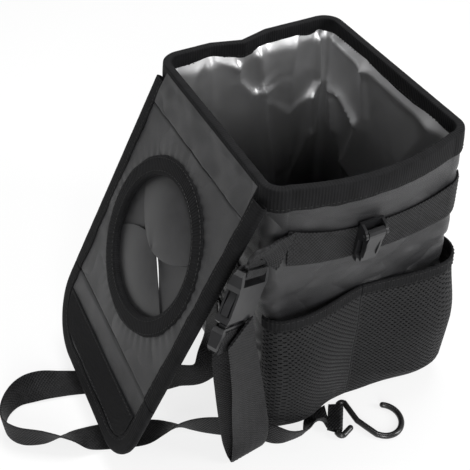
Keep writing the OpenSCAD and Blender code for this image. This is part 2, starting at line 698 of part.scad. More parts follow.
lock_half = buckle_t / 2 - 0.6;
module buckle_male() {
    color([0.13, 0.13, 0.14]) on_buckle() difference() {
        union() {
            through(arm_t) {
                male_arm();
                mirror([1, 0]) male_arm();
                polygon([[-3, lock_top - 1], [3, lock_top - 1], [2, -window_top - 4], [-2, -window_top - 4]]);
            }
            intersection() {
                through(buckle_t) polygon([[2 - buckle_w / 2, lock_top], [buckle_w / 2 - 2, lock_top],
                    [buckle_w / 2, lock_top - 3], [buckle_w / 2, lock_end + 3], [buckle_w / 2 - 2, lock_end],
                    [2 - buckle_w / 2, lock_end], [-buckle_w / 2, lock_end + 3], [-buckle_w / 2, lock_top - 3]]);
                sideways(buckle_w + 2) polygon([[1 - lock_half, lock_top], [lock_half - 1, lock_top],
                    [lock_half, lock_top - 3], [lock_half - 1, lock_end], [1 - lock_half, lock_end],
                    [-lock_half, lock_top - 3]]);
            }
        }
        // Room for the webbing round the ladder bar; the end bar below stays between its two legs
        sideways(2 * slot_half) difference() {
            translate([-buckle_t, lock_end - cut]) square([2 * buckle_t, lock_bar_z + bar_r + 3.2 - lock_end + cut]);
            translate([0, lock_bar_z]) circle(bar_r);
            translate([-bar_r, lock_end]) square([2 * bar_r, 3]);
        }
    }
}

// Webbing turned round a bar: two legs and a half turn, as an outline in y and z
module webbing_turn(z, r, leg, rise) {
    difference() {
        union() {
            translate([0, z]) circle(r + web_t);
            translate([-r - web_t, min(z, z + rise * leg)]) square([2 * (r + web_t), leg]);
        }
        translate([0, z]) circle(r);
        translate([-r, min(z, z + rise * (leg + cut))]) square([2 * r, leg + cut]);
    }
}

// Webbing round the female's bar, and the strap's end round the male's ladder bar
loop_leg = 4;
module buckle_loop() {
    color([0.06, 0.06, 0.065]) on_buckle() sideways(web_w) webbing_turn(bar_z, bar_r + seat, loop_leg, 1);
}

tail_leg = 12;
module strap_tail() {
    color([0.06, 0.06, 0.065]) on_buckle() sideways(web_w) webbing_turn(lock_bar_z, bar_r + seat, tail_leg, -1);
}

// Smooth curve through hand-placed points. Each point also says which way the strap's width runs, and a
// third value below 1 gathers the strap there. Where a tilted edge would sink into the floor, the strap is lifted
function spline(a, b, c, d, t) = 0.5 * (2 * b + (c - a) * t + (2 * a - 5 * b + 4 * c - d) * t * t
    + (3 * b - a - 3 * c + d) * t * t * t);
function curve(p, steps) = let (n = len(p) - 1) [for (i = [0 : n - 1], j = [0 : steps - (i < n - 1 ? 1 : 0)])
    spline(p[max(0, i - 1)], p[i], p[i + 1], p[min(n, i + 2)], j / steps)];

module strap(route, width, thick, steps) {
    line = curve([for (r = route) r[0]], steps);
    lean = curve([for (r = route) r[1]], steps);
    gather = curve([for (r = route) len(r) > 2 ? r[2] : 1], steps);
    n = len(line) - 1;
    edge = thick / 3;
    half = width / 2;
    shape = [[-half, edge / 2], [-half, -edge / 2], [edge - half, -thick / 2], [half - edge, -thick / 2],
        [half, -edge / 2], [half, edge / 2], [half - edge, thick / 2], [edge - half, thick / 2]];
    loft([for (i = [0 : n]) let (
            t = unit(line[min(n, i + 1)] - line[max(0, i - 1)]),
            square_on = i > 0 && i < n ? lean[i] * t : 0,
            across = unit(lean[i] - t * square_on),
            normal = unit(cross(t, across)),
            depth = gather[i] * half * abs(across[2]) + abs(normal[2]) * thick / 2,
            lift = max(0, depth + seat / 2 - line[i][2]))
        [for (s = shape) line[i] + gather[i] * s[0] * across + s[1] * normal + [0, 0, lift]]]);
}

// Free webbing between the buckle's loop and the left end of the front band, twisted and doubled
web_route = [[[-93.1, -102.6, 206], [-0.7, -0.44, 0.56], 0.86], [[-89.9, -101, 211], [-0.7, -0.44, 0.56], 0.66],
    [[-84.5, -99.8, 211], [-0.4, -0.4, 0.8], 0.6], [[-76, -97.6, 207], [0, -0.1, 1], 0.7],
    [[-67.2, -96, 202], [0, 0, 1], 1]];
module buckle_web() {
    color([0.06, 0.06, 0.065]) strap(web_route, web_w, 2 * web_t, 2);
}

// The wide strap leaves the back band, runs along the left wall, drops behind the buckle, turns up on the
// floor and ends on the front of the male half
wide_route = [[[-81.7, 79, 187], [0, 0, 1]], [[-83, 60, 187], [0, 0, 1]], [[-84, 30, 186], [0, 0, 1]],
    [[-85, 0, 184], [0, 0, 1]], [[-86, -30, 179], [0, -0.15, 1]], [[-89, -58, 171], [0, -0.4, 0.9]],
    [[-95, -80, 157], [0.2, -0.75, 0.6]], [[-102, -92, 137], [0.6, -0.7, 0.35]],
    [[-107, -99, 112], [0.9, -0.35, 0.15]], [[-107, -101, 84], [1, -0.2, 0]], [[-105, -101, 50], [1, -0.2, 0]],
    [[-103, -101.5, 20], [1, -0.15, 0]], [[-101, -103.5, 5], [1, -0.1, 0]],
    [[-100.5, -106.5, 1.8], [1, 0.13, 0]], [[-100.2, -109.5, 5], [1, 0.1, 0]], [[-98.5, -111, 29], [1, -0.05, 0]],
    [[-102, -113.5, 74], [0.95, 0.2, 0]], [[-105.5, -116.5, 111], [0.9, 0.4, 0]],
    [[-109, -118.5, 144], [0.85, 0.5, 0]], [[-111, -119, 168], [0.85, 0.53, 0]]];
module wide_strap() {
    color([0.06, 0.06, 0.065]) strap(wide_route, web_w, web_t, 2);
}

// Patch that holds the hook strap to the left wall, under the wide strap
patch_z = 148;
module strap_patch() {
    patch_h = 26;
    patch_t = 1.4;
    color([0.06, 0.06, 0.065])
        wall_strip(patch_z - patch_h / 2, patch_z + patch_h / 2, s_left + 5, s_left + 8, patch_t);
}

// The hook strap drops from its patch, lies in a wide loop on the floor and ends at the hook
hook_route = [[[-83.4, -7, 150], [0, 1, 0]], [[-84, -8, 120], [0, 1, 0]], [[-86, -14, 85], [0, 1, 0.1]],
    [[-89, -22, 50], [0, 0.9, 0.4]], [[-95, -28, 24], [-0.2, 0.4, 0.9]], [[-107, -28, 13.2], [0, 0.1, 1]],
    [[-124, -21, 12.6], [0, 0.2, 1]], [[-140, -12, 9], [0, 0.75, 0.65]], [[-158, -1, 3.5], [0, 1, 0.15]],
    [[-178, 9, 1.6], [0, 1, 0]], [[-198, 17, 1.6], [0.1, 1, 0]], [[-214, 22, 3.4], [0, 1, 0.2]],
    [[-232, 24, 8.6], [0, 0.8, 0.6]], [[-250, 21, 12.4], [0, 0.3, 0.95]], [[-264, 10, 12.8], [0, 0, 1]],
    [[-268, -6, 12.8], [0, 0, 1]], [[-260, -20, 12.8], [0, 0, 1]], [[-243, -30, 12.6], [0, -0.2, 1]],
    [[-226, -35.5, 9.6], [0, -0.7, 0.7]], [[-210, -40, 3.4], [0, -1, 0.15]], [[-190, -46, 1.6], [0, -1, 0]],
    [[-170, -54, 2.6], [0.1, -1, 0.1]], [[-152, -62, 7], [0.2, -0.8, 0.5]], [[-136, -70, 11.2], [0.2, -0.45, 0.85]],
    [[-121, -78, 12.8], [0.1, -0.15, 1]], [[-107, -86, 12.8], [0, 0, 1]], [[-95, -94, 12.8], [0, 0, 1]],
    [[-85, -101.5, 12.8], [0, 0, 1]], [[-76, -109.5, 12.8], [0, 0, 1]], [[-66, -116, 12.4], [0, -0.3, 1]],
    [[-54, -117.5, 11.4], [-0.1, -0.4, 0.9]], [[-43.5, -112.5, 9.6], [-0.3, -0.55, 0.75], 0.95],
    [[-34, -107.5, 5.4], [-0.45, -0.8, 0.35], 0.8], [[-26.4, -109.2, 4.3], [-0.545, -0.84, 0], 0.96]];
module hook_strap() {
    color([0.06, 0.06, 0.065]) strap(hook_route, strap_w, strap_t, 2);
}

// The hook lies on the floor, turned away from the tub, with its bar in the strap's end loop
hook_at = [-19, -114, 0];
hook_angle = -33;
eye_half = strap_w / 2 + 0.5;
bar_lift = wire_r + strap_t + seat;
bowl_x = 37;
bowl_y = 3.5;
hook_tip = 100;
hook_pitch = asin((bar_lift - wire_r) / (bowl_x + bowl_r));

module on_hook() {
    translate(hook_at + [0, 0, bar_lift]) rotate([0, 0, hook_angle]) rotate([0, hook_pitch, 0]) children();
}

// The wire's path in the hook's plane: free end, round the eye, along the shank and round the bowl
bend_r = 3;
eye_turn = 145;
function eye_bend(s, k) = let (a = eye_turn * k / 4) [bend_r - bend_r * cos(a), s * (eye_half + bend_r * sin(a))];
leg_x = bend_r - bend_r * cos(eye_turn);
leg_y = eye_half + bend_r * sin(eye_turn);
function leg_at(s, y) = [leg_x + (leg_y - y) * tan(180 - eye_turn), s * y];
function bowl(a) = [bowl_x + bowl_r * cos(a), bowl_y + bowl_r * sin(a)];
wire_path = concat([leg_at(-1, 2 * wire_r + 1)], [for (k = [4 : -1 : 0]) eye_bend(-1, k)],
    [for (k = [0 : 4]) eye_bend(1, k)], [leg_at(1, 1), leg_at(1, 0) + [1, -0.6]],
    [for (k = [0 : 11]) bowl(lerp(-115, hook_tip, k / 11))]);

module s_hook() {
    sides = 10;
    n = len(wire_path) - 1;
    function ring_at(p, normal, r) = [for (k = [0 : sides - 1]) let (a = 360 * k / sides)
        [p[0] + r * cos(a) * normal[0], p[1] + r * cos(a) * normal[1], -r * sin(a)]];
    function heading(a, b) = unit(wire_path[b] - wire_path[a]);
    body = [for (i = [0 : n]) let (d1 = heading(max(0, i - 1), max(1, i)), d2 = heading(min(n - 1, i), min(n, i + 1)),
            d = unit(d1 + d2)) ring_at(wire_path[i], [d[1], -d[0]] / max(0.6, d * d1), wire_r)];
    start = wire_path[0] - heading(0, 1);
    stop = wire_path[n] + heading(n - 1, n);
    turn = [heading(0, 1)[1], -heading(0, 1)[0]];
    turn_end = [heading(n - 1, n)[1], -heading(n - 1, n)[0]];
    color([0.05, 0.05, 0.05]) on_hook()
        loft(concat([ring_at(start, turn, 0.6 * wire_r)], body, [ring_at(stop, turn_end, 0.6 * wire_r)]));
}

// End of the hook strap, folded round the hook's bar
module hook_strap_loop() {
    reach = 8;
    inner = wire_r + seat;
    color([0.06, 0.06, 0.065]) on_hook() rotate([90, 0, 0]) translate([0, 0, -strap_w / 2]) linear_extrude(strap_w)
        difference() {
            union() {
                circle(inner + strap_t - seat);
                polygon([[0, -inner - strap_t + seat], [0, inner + strap_t - seat], [-reach, 1], [-reach, -1.6]]);
            }
            circle(inner);
        }
}

body_shell();
liner();
base_board();
rim_binding();
front_band();
back_band();
loop_tape();
pocket_mesh_left();
pocket_mesh_right();
pocket_elastic_left();
pocket_elastic_right();
clip_base();
clip_lever();
clip_pin();
hinge_cloth();
lid_cover();
lid_board();
lid_tape_near();
lid_tape_far();
hole_binding();
petal_ring();
petal_1();
petal_2();
petal_3();
petal_4();
flap_cover();
flap_tape();
hook_tape();
buckle_female();
buckle_male();
buckle_loop();
buckle_web();
strap_tail();
wide_strap();
strap_patch();
hook_strap();
hook_strap_loop();
s_hook();
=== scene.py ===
import math
import bpy
import numpy as np
from mathutils import Matrix, Vector


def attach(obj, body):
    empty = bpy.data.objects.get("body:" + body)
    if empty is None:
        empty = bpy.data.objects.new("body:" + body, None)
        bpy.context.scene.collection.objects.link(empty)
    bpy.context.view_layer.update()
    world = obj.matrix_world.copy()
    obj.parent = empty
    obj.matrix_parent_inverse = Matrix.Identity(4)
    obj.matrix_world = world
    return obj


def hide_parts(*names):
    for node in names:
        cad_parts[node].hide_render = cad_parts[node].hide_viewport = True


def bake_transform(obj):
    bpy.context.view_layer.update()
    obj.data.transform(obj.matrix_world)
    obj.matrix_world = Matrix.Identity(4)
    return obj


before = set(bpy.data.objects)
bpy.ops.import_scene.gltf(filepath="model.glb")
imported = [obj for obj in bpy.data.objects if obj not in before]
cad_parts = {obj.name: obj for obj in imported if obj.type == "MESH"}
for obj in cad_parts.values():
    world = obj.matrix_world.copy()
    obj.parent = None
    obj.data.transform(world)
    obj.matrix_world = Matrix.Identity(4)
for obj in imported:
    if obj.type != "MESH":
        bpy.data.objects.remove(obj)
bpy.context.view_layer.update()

print("frame loaded")

# camera at the photograph's angle, distances in mm and the focal length in pixels of a 470 pixel frame
cameraView = {"azimuth": -25.72, "elevation": 43.13, "roll": -0.44, "focal": 805.97, "frameSize": 470,
              "distance": 749.08, "right": -52.15, "up": 78.75}


def makeCamera(view):
    a, e, r = (math.radians(view[k]) for k in ("azimuth", "elevation", "roll"))
    back = Vector((math.sin(a) * math.cos(e), -math.cos(a) * math.cos(e), math.sin(e)))
    level = Vector((math.cos(a), math.sin(a), 0))
    rise = back.cross(level)
    right = level * math.cos(r) + rise * math.sin(r)
    up = rise * math.cos(r) - level * math.sin(r)
    place = (back * view["distance"] + right * view["right"] + up * view["up"]) * 0.001
    camera = bpy.data.objects.new("camera", bpy.data.cameras.new("camera"))
    camera.data.lens = view["focal"] / view["frameSize"] * camera.data.sensor_width
    camera.data.clip_start = 0.01
    camera.matrix_world = Matrix.Translation(place) @ Matrix((right, up, back)).transposed().to_4x4()
    bpy.context.scene.collection.objects.link(camera)
    bpy.context.scene.camera = camera


makeCamera(cameraView)


# materials
def startMaterial(name, colour, roughness, specular=0.5, metallic=0.0):
    material = bpy.data.materials.new(name)
    material.use_nodes = True
    shader = material.node_tree.nodes["Principled BSDF"]
    shader.inputs["Base Color"].default_value = (*colour, 1)
    shader.inputs["Roughness"].default_value = roughness
    shader.inputs["Specular IOR Level"].default_value = specular
    shader.inputs["Metallic"].default_value = metallic
    return material, material.node_tree, shader


def addNode(tree, kind, **values):
    node = tree.nodes.new(kind)
    for key, value in values.items():
        if hasattr(node, key):
            setattr(node, key, value)
        else:
            node.inputs[key.replace("_", " ")].default_value = value
    return node


def mathNode(tree, operation, a, b=None, c=None):
    node = addNode(tree, "ShaderNodeMath", operation=operation)
    for socket, value in zip(node.inputs, (a, b, c)):
        if value is None:
            continue
        if isinstance(value, (int, float)):
            socket.default_value = value
        else:
            tree.links.new(value, socket)
    return node.outputs[0]


def noiseNode(tree, where, scale, detail=2.0):
    node = addNode(tree, "ShaderNodeTexNoise", Scale=scale, Detail=detail)
    tree.links.new(where, node.inputs["Vector"])
    return node.outputs[0]


def tintBetween(tree, factor, darker, lighter):
    ramp = addNode(tree, "ShaderNodeValToRGB")
    ramp.color_ramp.elements[0].position, ramp.color_ramp.elements[1].position = 0.3, 0.7
    ramp.color_ramp.elements[0].color = (*darker, 1)
    ramp.color_ramp.elements[1].color = (*lighter, 1)
    tree.links.new(factor, ramp.inputs["Fac"])
    return ramp.outputs["Color"]


def placeOf(tree):
    return addNode(tree, "ShaderNodeTexCoord").outputs["Object"]


def threadPlace(tree):
    # thread coordinates in mm, along and across the cloth, kept on the mesh
    attribute = addNode(tree, "ShaderNodeAttribute", attribute_name="thread")
    split = addNode(tree, "ShaderNodeSeparateXYZ")
    tree.links.new(attribute.outputs["Vector"], split.inputs[0])
    return split.outputs[0], split.outputs[1]


def threadWave(tree, place, pitch):
    return mathNode(tree, "COSINE", mathNode(tree, "MULTIPLY", place, 2 * math.pi / pitch))


def bumpOn(tree, shader, height, strength, distance):
    bump = addNode(tree, "ShaderNodeBump", Strength=strength, Distance=distance)
    tree.links.new(height, bump.inputs["Height"])
    tree.links.new(bump.outputs["Normal"], shader.inputs["Normal"])


def shade(colour, factor):
    return tuple(c * factor for c in colour)


# threads of a cloth: pitch in mm along and across; a pitch across of 0 leaves plain ribs.
# A creased cloth has soft folds too fine for the mesh under its threads.
def makeCloth(name, look):
    material, tree, shader = startMaterial(name, look["colour"], look["roughness"], look["specular"])
    shader.inputs["Sheen Weight"].default_value = look["sheen"]
    shader.inputs["Sheen Roughness"].default_value = 0.4
    shader.inputs["Sheen Tint"].default_value = (0.6, 0.6, 0.62, 1)
    along, across = threadPlace(tree)
    height = threadWave(tree, along, look["pitch"][0])
    if look["pitch"][1]:
        height = mathNode(tree, "MULTIPLY", height, threadWave(tree, across, look["pitch"][1]))
    cloudy = noiseNode(tree, placeOf(tree), look["cloud"], 3)
    thread = mathNode(tree, "MULTIPLY_ADD", height, look.get("contrast", 0.22), 0.0)
    mixed = mathNode(tree, "ADD", cloudy, thread)
    colour = tintBetween(tree, mixed, shade(look["colour"], look["spread"][0]),
                         shade(look["colour"], look["spread"][1]))
    tree.links.new(colour, shader.inputs["Base Color"])
    fine = noiseNode(tree, placeOf(tree), 900, 2)
    bumpOn(tree, shader, mathNode(tree, "ADD", height, mathNode(tree, "MULTIPLY", fine, 0.8)), look["bump"], 0.0003)
    if look.get("creased"):
        creased = mathNode(tree, "ABSOLUTE", mathNode(tree, "SUBTRACT", noiseNode(tree, placeOf(tree), 22, 1), 0.5))
        under = addNode(tree, "ShaderNodeBump", Strength=look["creased"], Distance=0.02)
        tree.links.new(creased, under.inputs["Height"])
        tree.links.new(under.outputs["Normal"], shader.inputs["Normal"].links[0].from_node.inputs["Normal"])
    rough = mathNode(tree, "MULTIPLY_ADD", cloudy, look["roughVary"], look["roughness"] - look["roughVary"] / 2)
    tree.links.new(rough, shader.inputs["Roughness"])
    return material


clothLooks = {
    "shellCloth": {"colour": (0.016, 0.016, 0.017), "roughness": 0.38, "specular": 0.5, "sheen": 0.05,
                   "pitch": (0.9, 0.9), "cloud": 70, "spread": (0.75, 1.3), "bump": 0.35, "roughVary": 0.16,
                   "creased": 0.6},
    "edgeTape": {"colour": (0.0055, 0.0055, 0.006), "roughness": 0.75, "specular": 0.12, "sheen": 0.02,
                 "pitch": (2.1, 0), "cloud": 120, "spread": (0.7, 1.4), "bump": 0.4, "roughVary": 0.1,
                 "contrast": 0.08},
    "webbing": {"colour": (0.0065, 0.0065, 0.007), "roughness": 0.6, "specular": 0.22, "sheen": 0.03,
                "pitch": (2.8, 3.3), "cloud": 150, "spread": (0.45, 1.9), "bump": 0.9, "roughVary": 0.1,
                "contrast": 0.3},
    "meshCord": {"colour": (0.004, 0.004, 0.0045), "roughness": 0.62, "specular": 0.28, "sheen": 0.05,
                 "pitch": (0.5, 0.5), "cloud": 150, "spread": (0.7, 1.4), "bump": 0.4, "roughVary": 0.1},
    "loopTape": {"colour": (0.012, 0.012, 0.012), "roughness": 0.9, "specular": 0.1, "sheen": 0.25,
                 "pitch": (0.7, 0.6), "cloud": 400, "spread": (0.5, 1.7), "bump": 1.0, "roughVary": 0.05},
    "hookTape": {"colour": (0.004, 0.004, 0.0045), "roughness": 0.8, "specular": 0.15, "sheen": 0.02,
                 "pitch": (1.5, 1.2), "cloud": 300, "spread": (0.6, 1.5), "bump": 1.0, "roughVary": 0.05},
}


# foil faced film: bright where it catches the light, with soft stretch marks. It is darker towards the floor,
# which stands for part of the shade deep in the tub.
filmLook = {"colour": (0.4, 0.4, 0.405), "metallic": 0.85, "deepTone": (0.04, 0.04, 0.042),
            "openTone": (0.55, 0.55, 0.555), "openHeight": 0.28, "toneVary": 0.12, "roughness": 0.28,
            "roughVary": 0.16, "bump": 0.05}


def makeFilm():
    material, tree, shader = startMaterial("linerFilm", filmLook["colour"], 0.36, 0.5, filmLook["metallic"])
    where = placeOf(tree)
    cloudy = noiseNode(tree, where, 28, 3)
    height = addNode(tree, "ShaderNodeSeparateXYZ")
    tree.links.new(where, height.inputs[0])
    depth = addNode(tree, "ShaderNodeMapRange")
    for name, value in (("From Min", 0.0), ("From Max", filmLook["openHeight"]), ("To Min", 0.0), ("To Max", 1.0)):
        depth.inputs[name].default_value = value
    tree.links.new(height.outputs["Z"], depth.inputs["Value"])
    tone = mathNode(tree, "MULTIPLY_ADD", cloudy, filmLook["toneVary"], depth.outputs[0])
    tree.links.new(tintBetween(tree, tone, filmLook["deepTone"], filmLook["openTone"]), shader.inputs["Base Color"])
    rough = mathNode(tree, "MULTIPLY_ADD", noiseNode(tree, where, 90, 3), filmLook["roughVary"],
                     filmLook["roughness"])
    tree.links.new(rough, shader.inputs["Roughness"])
    soft = noiseNode(tree, where, 45, 1)
    fine = mathNode(tree, "MULTIPLY", noiseNode(tree, where, 260, 2), 0.12)
    bumpOn(tree, shader, mathNode(tree, "ADD", soft, fine), filmLook["bump"], 0.003)
    return material


# colour, roughness, specular, and where it isn't a plain moulding the size and height of its grain
mouldedLooks = {
    "petalRubber": ((0.026, 0.026, 0.027), 0.42, 0.35, 700, 0.1),
    "bucklePlastic": ((0.011, 0.011, 0.012), 0.34, 0.45),
    "clipPlastic": ((0.011, 0.011, 0.012), 0.32, 0.45),
    "hookCoating": ((0.012, 0.012, 0.012), 0.25, 0.5, 500, 0.1),
    "board": ((0.06, 0.055, 0.05), 0.8, 0.2),
    "stitchThread": ((0.014, 0.014, 0.014), 0.6, 0.3),
}


def makeMoulded(name, colour, roughness, specular, grain=1400, bump=0.15):
    material, tree, shader = startMaterial(name, colour, roughness, specular)
    where = placeOf(tree)
    cloudy = noiseNode(tree, where, 120, 3)
    tree.links.new(tintBetween(tree, cloudy, shade(colour, 0.85), shade(colour, 1.2)), shader.inputs["Base Color"])
    rough = mathNode(tree, "MULTIPLY_ADD", cloudy, 0.16, roughness - 0.08)
    tree.links.new(rough, shader.inputs["Roughness"])
    bumpOn(tree, shader, noiseNode(tree, where, grain, 2), bump, 0.0002)
    return material


materials = {name: makeCloth(name, look) for name, look in clothLooks.items()}
materials["linerFilm"] = makeFilm()
for name, look in mouldedLooks.items():
    materials[name] = makeMoulded(name, *look)
materials["pinSteel"] = startMaterial("pinSteel", (0.4, 0.4, 0.41), 0.3, 0.5, 1.0)[0]
print("materials made")


# mesh helpers; lengths in mm until the mesh is made
def unitRows(v):
    return v / np.maximum(np.linalg.norm(v, axis=-1, keepdims=True), 1e-9)


def smoothStep(t):
    t = np.clip(t, 0, 1)
    return t * t * (3 - 2 * t)


def runAlong(line):
    return np.concatenate([[0], np.cumsum(np.linalg.norm(np.diff(line, axis=0), axis=1))])


def valuesAt(at, run, rows):
    return np.stack([np.interp(at, run, rows[:, c]) for c in range(rows.shape[1])], -1)


# a pair of coordinates for each place of a grid
def gridPlaces(first, second):
    return np.stack(np.broadcast_arrays(first[:, None], second[None]), -1)


# how far a face drops towards an edge that is rounded over
def roundedDrop(part, deep):
    return deep * (1 - np.sqrt(np.clip(1 - (1 - part) ** 2, 0, 1)))


def softNoise(points, wave, seed, terms=9):
    rng = np.random.default_rng(seed)
    total = np.zeros(points.shape[:-1])
    for _ in range(terms):
        way = rng.normal(size=3)
        way /= np.linalg.norm(way)
        total += np.sin(points @ way * (2 * math.pi / (wave * rng.uniform(0.7, 1.5))) + rng.uniform(0, 6.28))
    return total / math.sqrt(terms / 2)


def makePiece(name, points, faces, material, body, thread=None, replaces=(), sharp=38):
    mesh = bpy.data.meshes.new(name)
    points = np.asarray(points, float).reshape(-1, 3)
    mesh.from_pydata((points * 0.001).tolist(), [], [list(map(int, f)) for f in faces])
    mesh.validate()
    if thread is not None:
        spot = mesh.attributes.new("thread", "FLOAT_VECTOR", "POINT")
        flat = np.zeros((len(points), 3), np.float32)
        flat[:, :2] = np.asarray(thread, float).reshape(-1, 2)
        spot.data.foreach_set("vector", flat.ravel())
    mesh.polygons.foreach_set("use_smooth", [True] * len(mesh.polygons))
    mesh.set_sharp_from_angle(angle=math.radians(sharp))
    mesh.materials.append(materials[material])
    piece = bpy.data.objects.new(name, mesh)
    bpy.context.scene.collection.objects.link(piece)
    if replaces:
        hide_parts(*replaces)
    if body:
        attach(piece, body)
    return piece


def sideQuads(n, m, closed):
    i, j = np.meshgrid(np.arange(n if closed else n - 1), np.arange(m), indexing="ij")
    k, l = (i + 1) % n, (j + 1) % m
    return np.stack([i * m + j, i * m + l, k * m + l, k * m + j], -1).reshape(-1, 4)


def loftFaces(rings, closed, thin):
    n, m = rings.shape[:2]
    faces = sideQuads(n, m, closed).tolist()
    if not closed:
        last = (n - 1) * m
        if thin:
            for j in range(m // 2 - 1):
                faces.append([j + 1, j, m - 1 - j, m - 2 - j])
                faces.append([last + j, last + j + 1, last + m - 2 - j, last + m - 1 - j])
        else:
            faces.append(list(range(m - 1, -1, -1)))
            faces.append([last + j for j in range(m)])
    return faces


def turnOutward(points, faces):
    flat = points.reshape(-1, 3)
    quads = np.array([f[:4] for f in faces if len(f) == 4])
    a, b, c, d = (flat[quads[:, k]] for k in range(4))
    volume = np.einsum("ij,ij->", a, np.cross(b, c)) + np.einsum("ij,ij->", a, np.cross(c, d))
    return faces if volume > 0 else [f[::-1] for f in faces]


def loftPiece(name, rings, material, body, slotName, thread=None, closed=False, thin=True, replaces=(), sharp=38):
    rings = np.asarray(rings, float)
    faces = turnOutward(rings, loftFaces(rings, closed, thin))
    return makePiece(name, rings, faces, material, body, thread, replaces, sharp)


def gridNormals(grid, closed=False):
    if closed:
        du = np.roll(grid, -1, 0) - np.roll(grid, 1, 0)
    else:
        du = np.gradient(grid, axis=0)
    return unitRows(np.cross(du, np.gradient(grid, axis=1)))


# a front and a back grid joined at their edges
def sheetPiece(name, front, back, material, body, slotName, place, closed=False, **more):
    rings = np.concatenate([front, back[:, ::-1]], 1)
    thread = np.concatenate([place, place[:, ::-1]], 1)
    return loftPiece(name, rings, material, body, slotName, thread, closed, **more)


stitchLook = {"length": 2.5, "gap": 1.2, "radius": 0.28}


# a row of small thread bars that follow a line of points, standing a little proud of it
def stitchRow(name, line, normals, body, closed=False):
    line, normals = np.asarray(line, float), unitRows(np.asarray(normals, float))
    if closed:
        line, normals = np.concatenate([line, line[:1]]), np.concatenate([normals, normals[:1]])
    run = runAlong(line)
    pitch = stitchLook["length"] + stitchLook["gap"]
    count = max(1, int(run[-1] / pitch))
    points, faces = [], []
    sides, steps = 6, 4
    for k in range(count):
        middle = (k + 0.5) * run[-1] / count
        for e in range(steps):
            f = e / (steps - 1)
            at = middle + (f - 0.5) * stitchLook["length"]
            spot, up = valuesAt(at, run, line), valuesAt(at, run, normals)
            ahead = valuesAt(at + 0.3, run, line) - valuesAt(at - 0.3, run, line)
            way = ahead / max(np.linalg.norm(ahead), 1e-9)
            side = np.cross(way, up)
            lift, share = (0.12, 1) if 0 < e < steps - 1 else (-0.25, 0.5)
            radius = stitchLook["radius"] * share
            for t in range(sides):
                angle = 2 * math.pi * t / sides
                points.append(spot + up * (lift + radius * math.sin(angle)) + side * radius * math.cos(angle))
        base = k * steps * sides
        for e in range(steps - 1):
            for t in range(sides):
                u = (t + 1) % sides
                low, high = base + e * sides, base + (e + 1) * sides
                faces.append([low + t, low + u, high + u, high + t])
        faces.append([base + t for t in range(sides - 1, -1, -1)])
        faces.append([base + (steps - 1) * sides + t for t in range(sides)])
    return makePiece(name, points, faces, "stitchThread", body)


# webbing: straps along a route
weaveLook = {"alongPitch": 2.8, "acrossPitch": 3.3, "depth": 0.16, "alongStep": 0.7, "acrossStep": 0.85}


def splineThrough(points, steps):
    p = np.asarray(points, float)
    n = len(p) - 1
    out = []
    for i in range(n):
        a, b, c, d = p[max(0, i - 1)], p[i], p[i + 1], p[min(n, i + 2)]
        for j in range(steps + (i == n - 1)):
            t = j / steps
            out.append(0.5 * (2 * b + (c - a) * t + (2 * a - 5 * b + 4 * c - d) * t * t
                              + (3 * b - a - 3 * c + d) * t ** 3))
    return np.array(out)


def evenly(line, step):
    run = runAlong(line[:, :3])
    count = max(8, int(round(run[-1] / step)))
    at = np.linspace(0, run[-1], count + 1)
    return valuesAt(at, run, line), at


def weaveOver(run, across, look):
    along = look["depth"] * np.cos(2 * math.pi * run / look["alongPitch"])
    return along[:, None] * np.cos(2 * math.pi * across / look["acrossPitch"])[None]


def ribbedSection(width, thick, look):
    half = width / 2
    count = max(6, int(round(width / look["acrossStep"])))
    across = half * np.sin(np.linspace(-1, 1, count) * math.pi / 2 * 0.93) / math.sin(math.pi / 2 * 0.93)
    body = thick / 2 * (1 - np.minimum(1, np.abs(across) / half) ** 12) ** 0.5
    return across, np.maximum(body, 0.22 * thick)


def strapPiece(name, route, width, thick, replaces):
    packed = [[*r[0], *r[1], r[2] if len(r) > 2 else 1] for r in route]
    line, run = evenly(splineThrough(packed, 16), weaveLook["alongStep"])
    middle, lean, gather = line[:, :3], line[:, 3:6], line[:, 6:]
    tangent = unitRows(np.gradient(middle, axis=0))
    across = unitRows(lean - np.sum(lean * tangent, 1, keepdims=True) * tangent)
    normal = unitRows(np.cross(tangent, across))
    spot, halfThick = ribbedSection(width, thick, weaveLook)
    soft = weaveOver(run, spot, weaveLook) * np.minimum(1, (width / 2 - np.abs(spot)) / 1.5)[None]
    wide = middle[:, None] + gather[:, None] * spot[None, :, None] * across[:, None]
    front = wide + (halfThick + soft)[..., None] * normal[:, None]
    back = wide - (halfThick - soft)[..., None] * normal[:, None]
    # where the strap would dip into the ground it lies on it instead
    sunk = np.maximum(0, 0.25 - np.minimum(front[..., 2].min(1), back[..., 2].min(1)))
    spread = np.array([sunk[max(0, i - 12):i + 13].max() for i in range(len(sunk))])
    lift = np.array([spread[max(0, i - 12):i + 13].mean() for i in range(len(spread))])
    lift = np.maximum(lift, sunk)
    front[..., 2] += lift[:, None]
    back[..., 2] += lift[:, None]
    middle = middle + np.stack([0 * lift, 0 * lift, lift], 1)
    piece = sheetPiece(name, front, back, "webbing", "tub", "webbing", gridPlaces(run, spot), replaces=replaces,
                       sharp=60)
    return piece, middle, float(run[-1])


def turnMatrix(x, y, z):
    about = [Matrix.Rotation(math.radians(angle), 3, axis) for angle, axis in ((z, "Z"), (y, "Y"), (x, "X"))]
    return np.array(about[0] @ about[1] @ about[2])


# a short strap laid out beside a fitting and turned with it
def strapAtFitting(name, fitting, turn, route, across, width, thick, replaces):
    world = [np.array(fitting["at"]) + turn @ np.array(p) for p in route]
    strapPiece(name, [[list(p), list(turn @ np.array(across))] for p in world], width, thick, replaces)


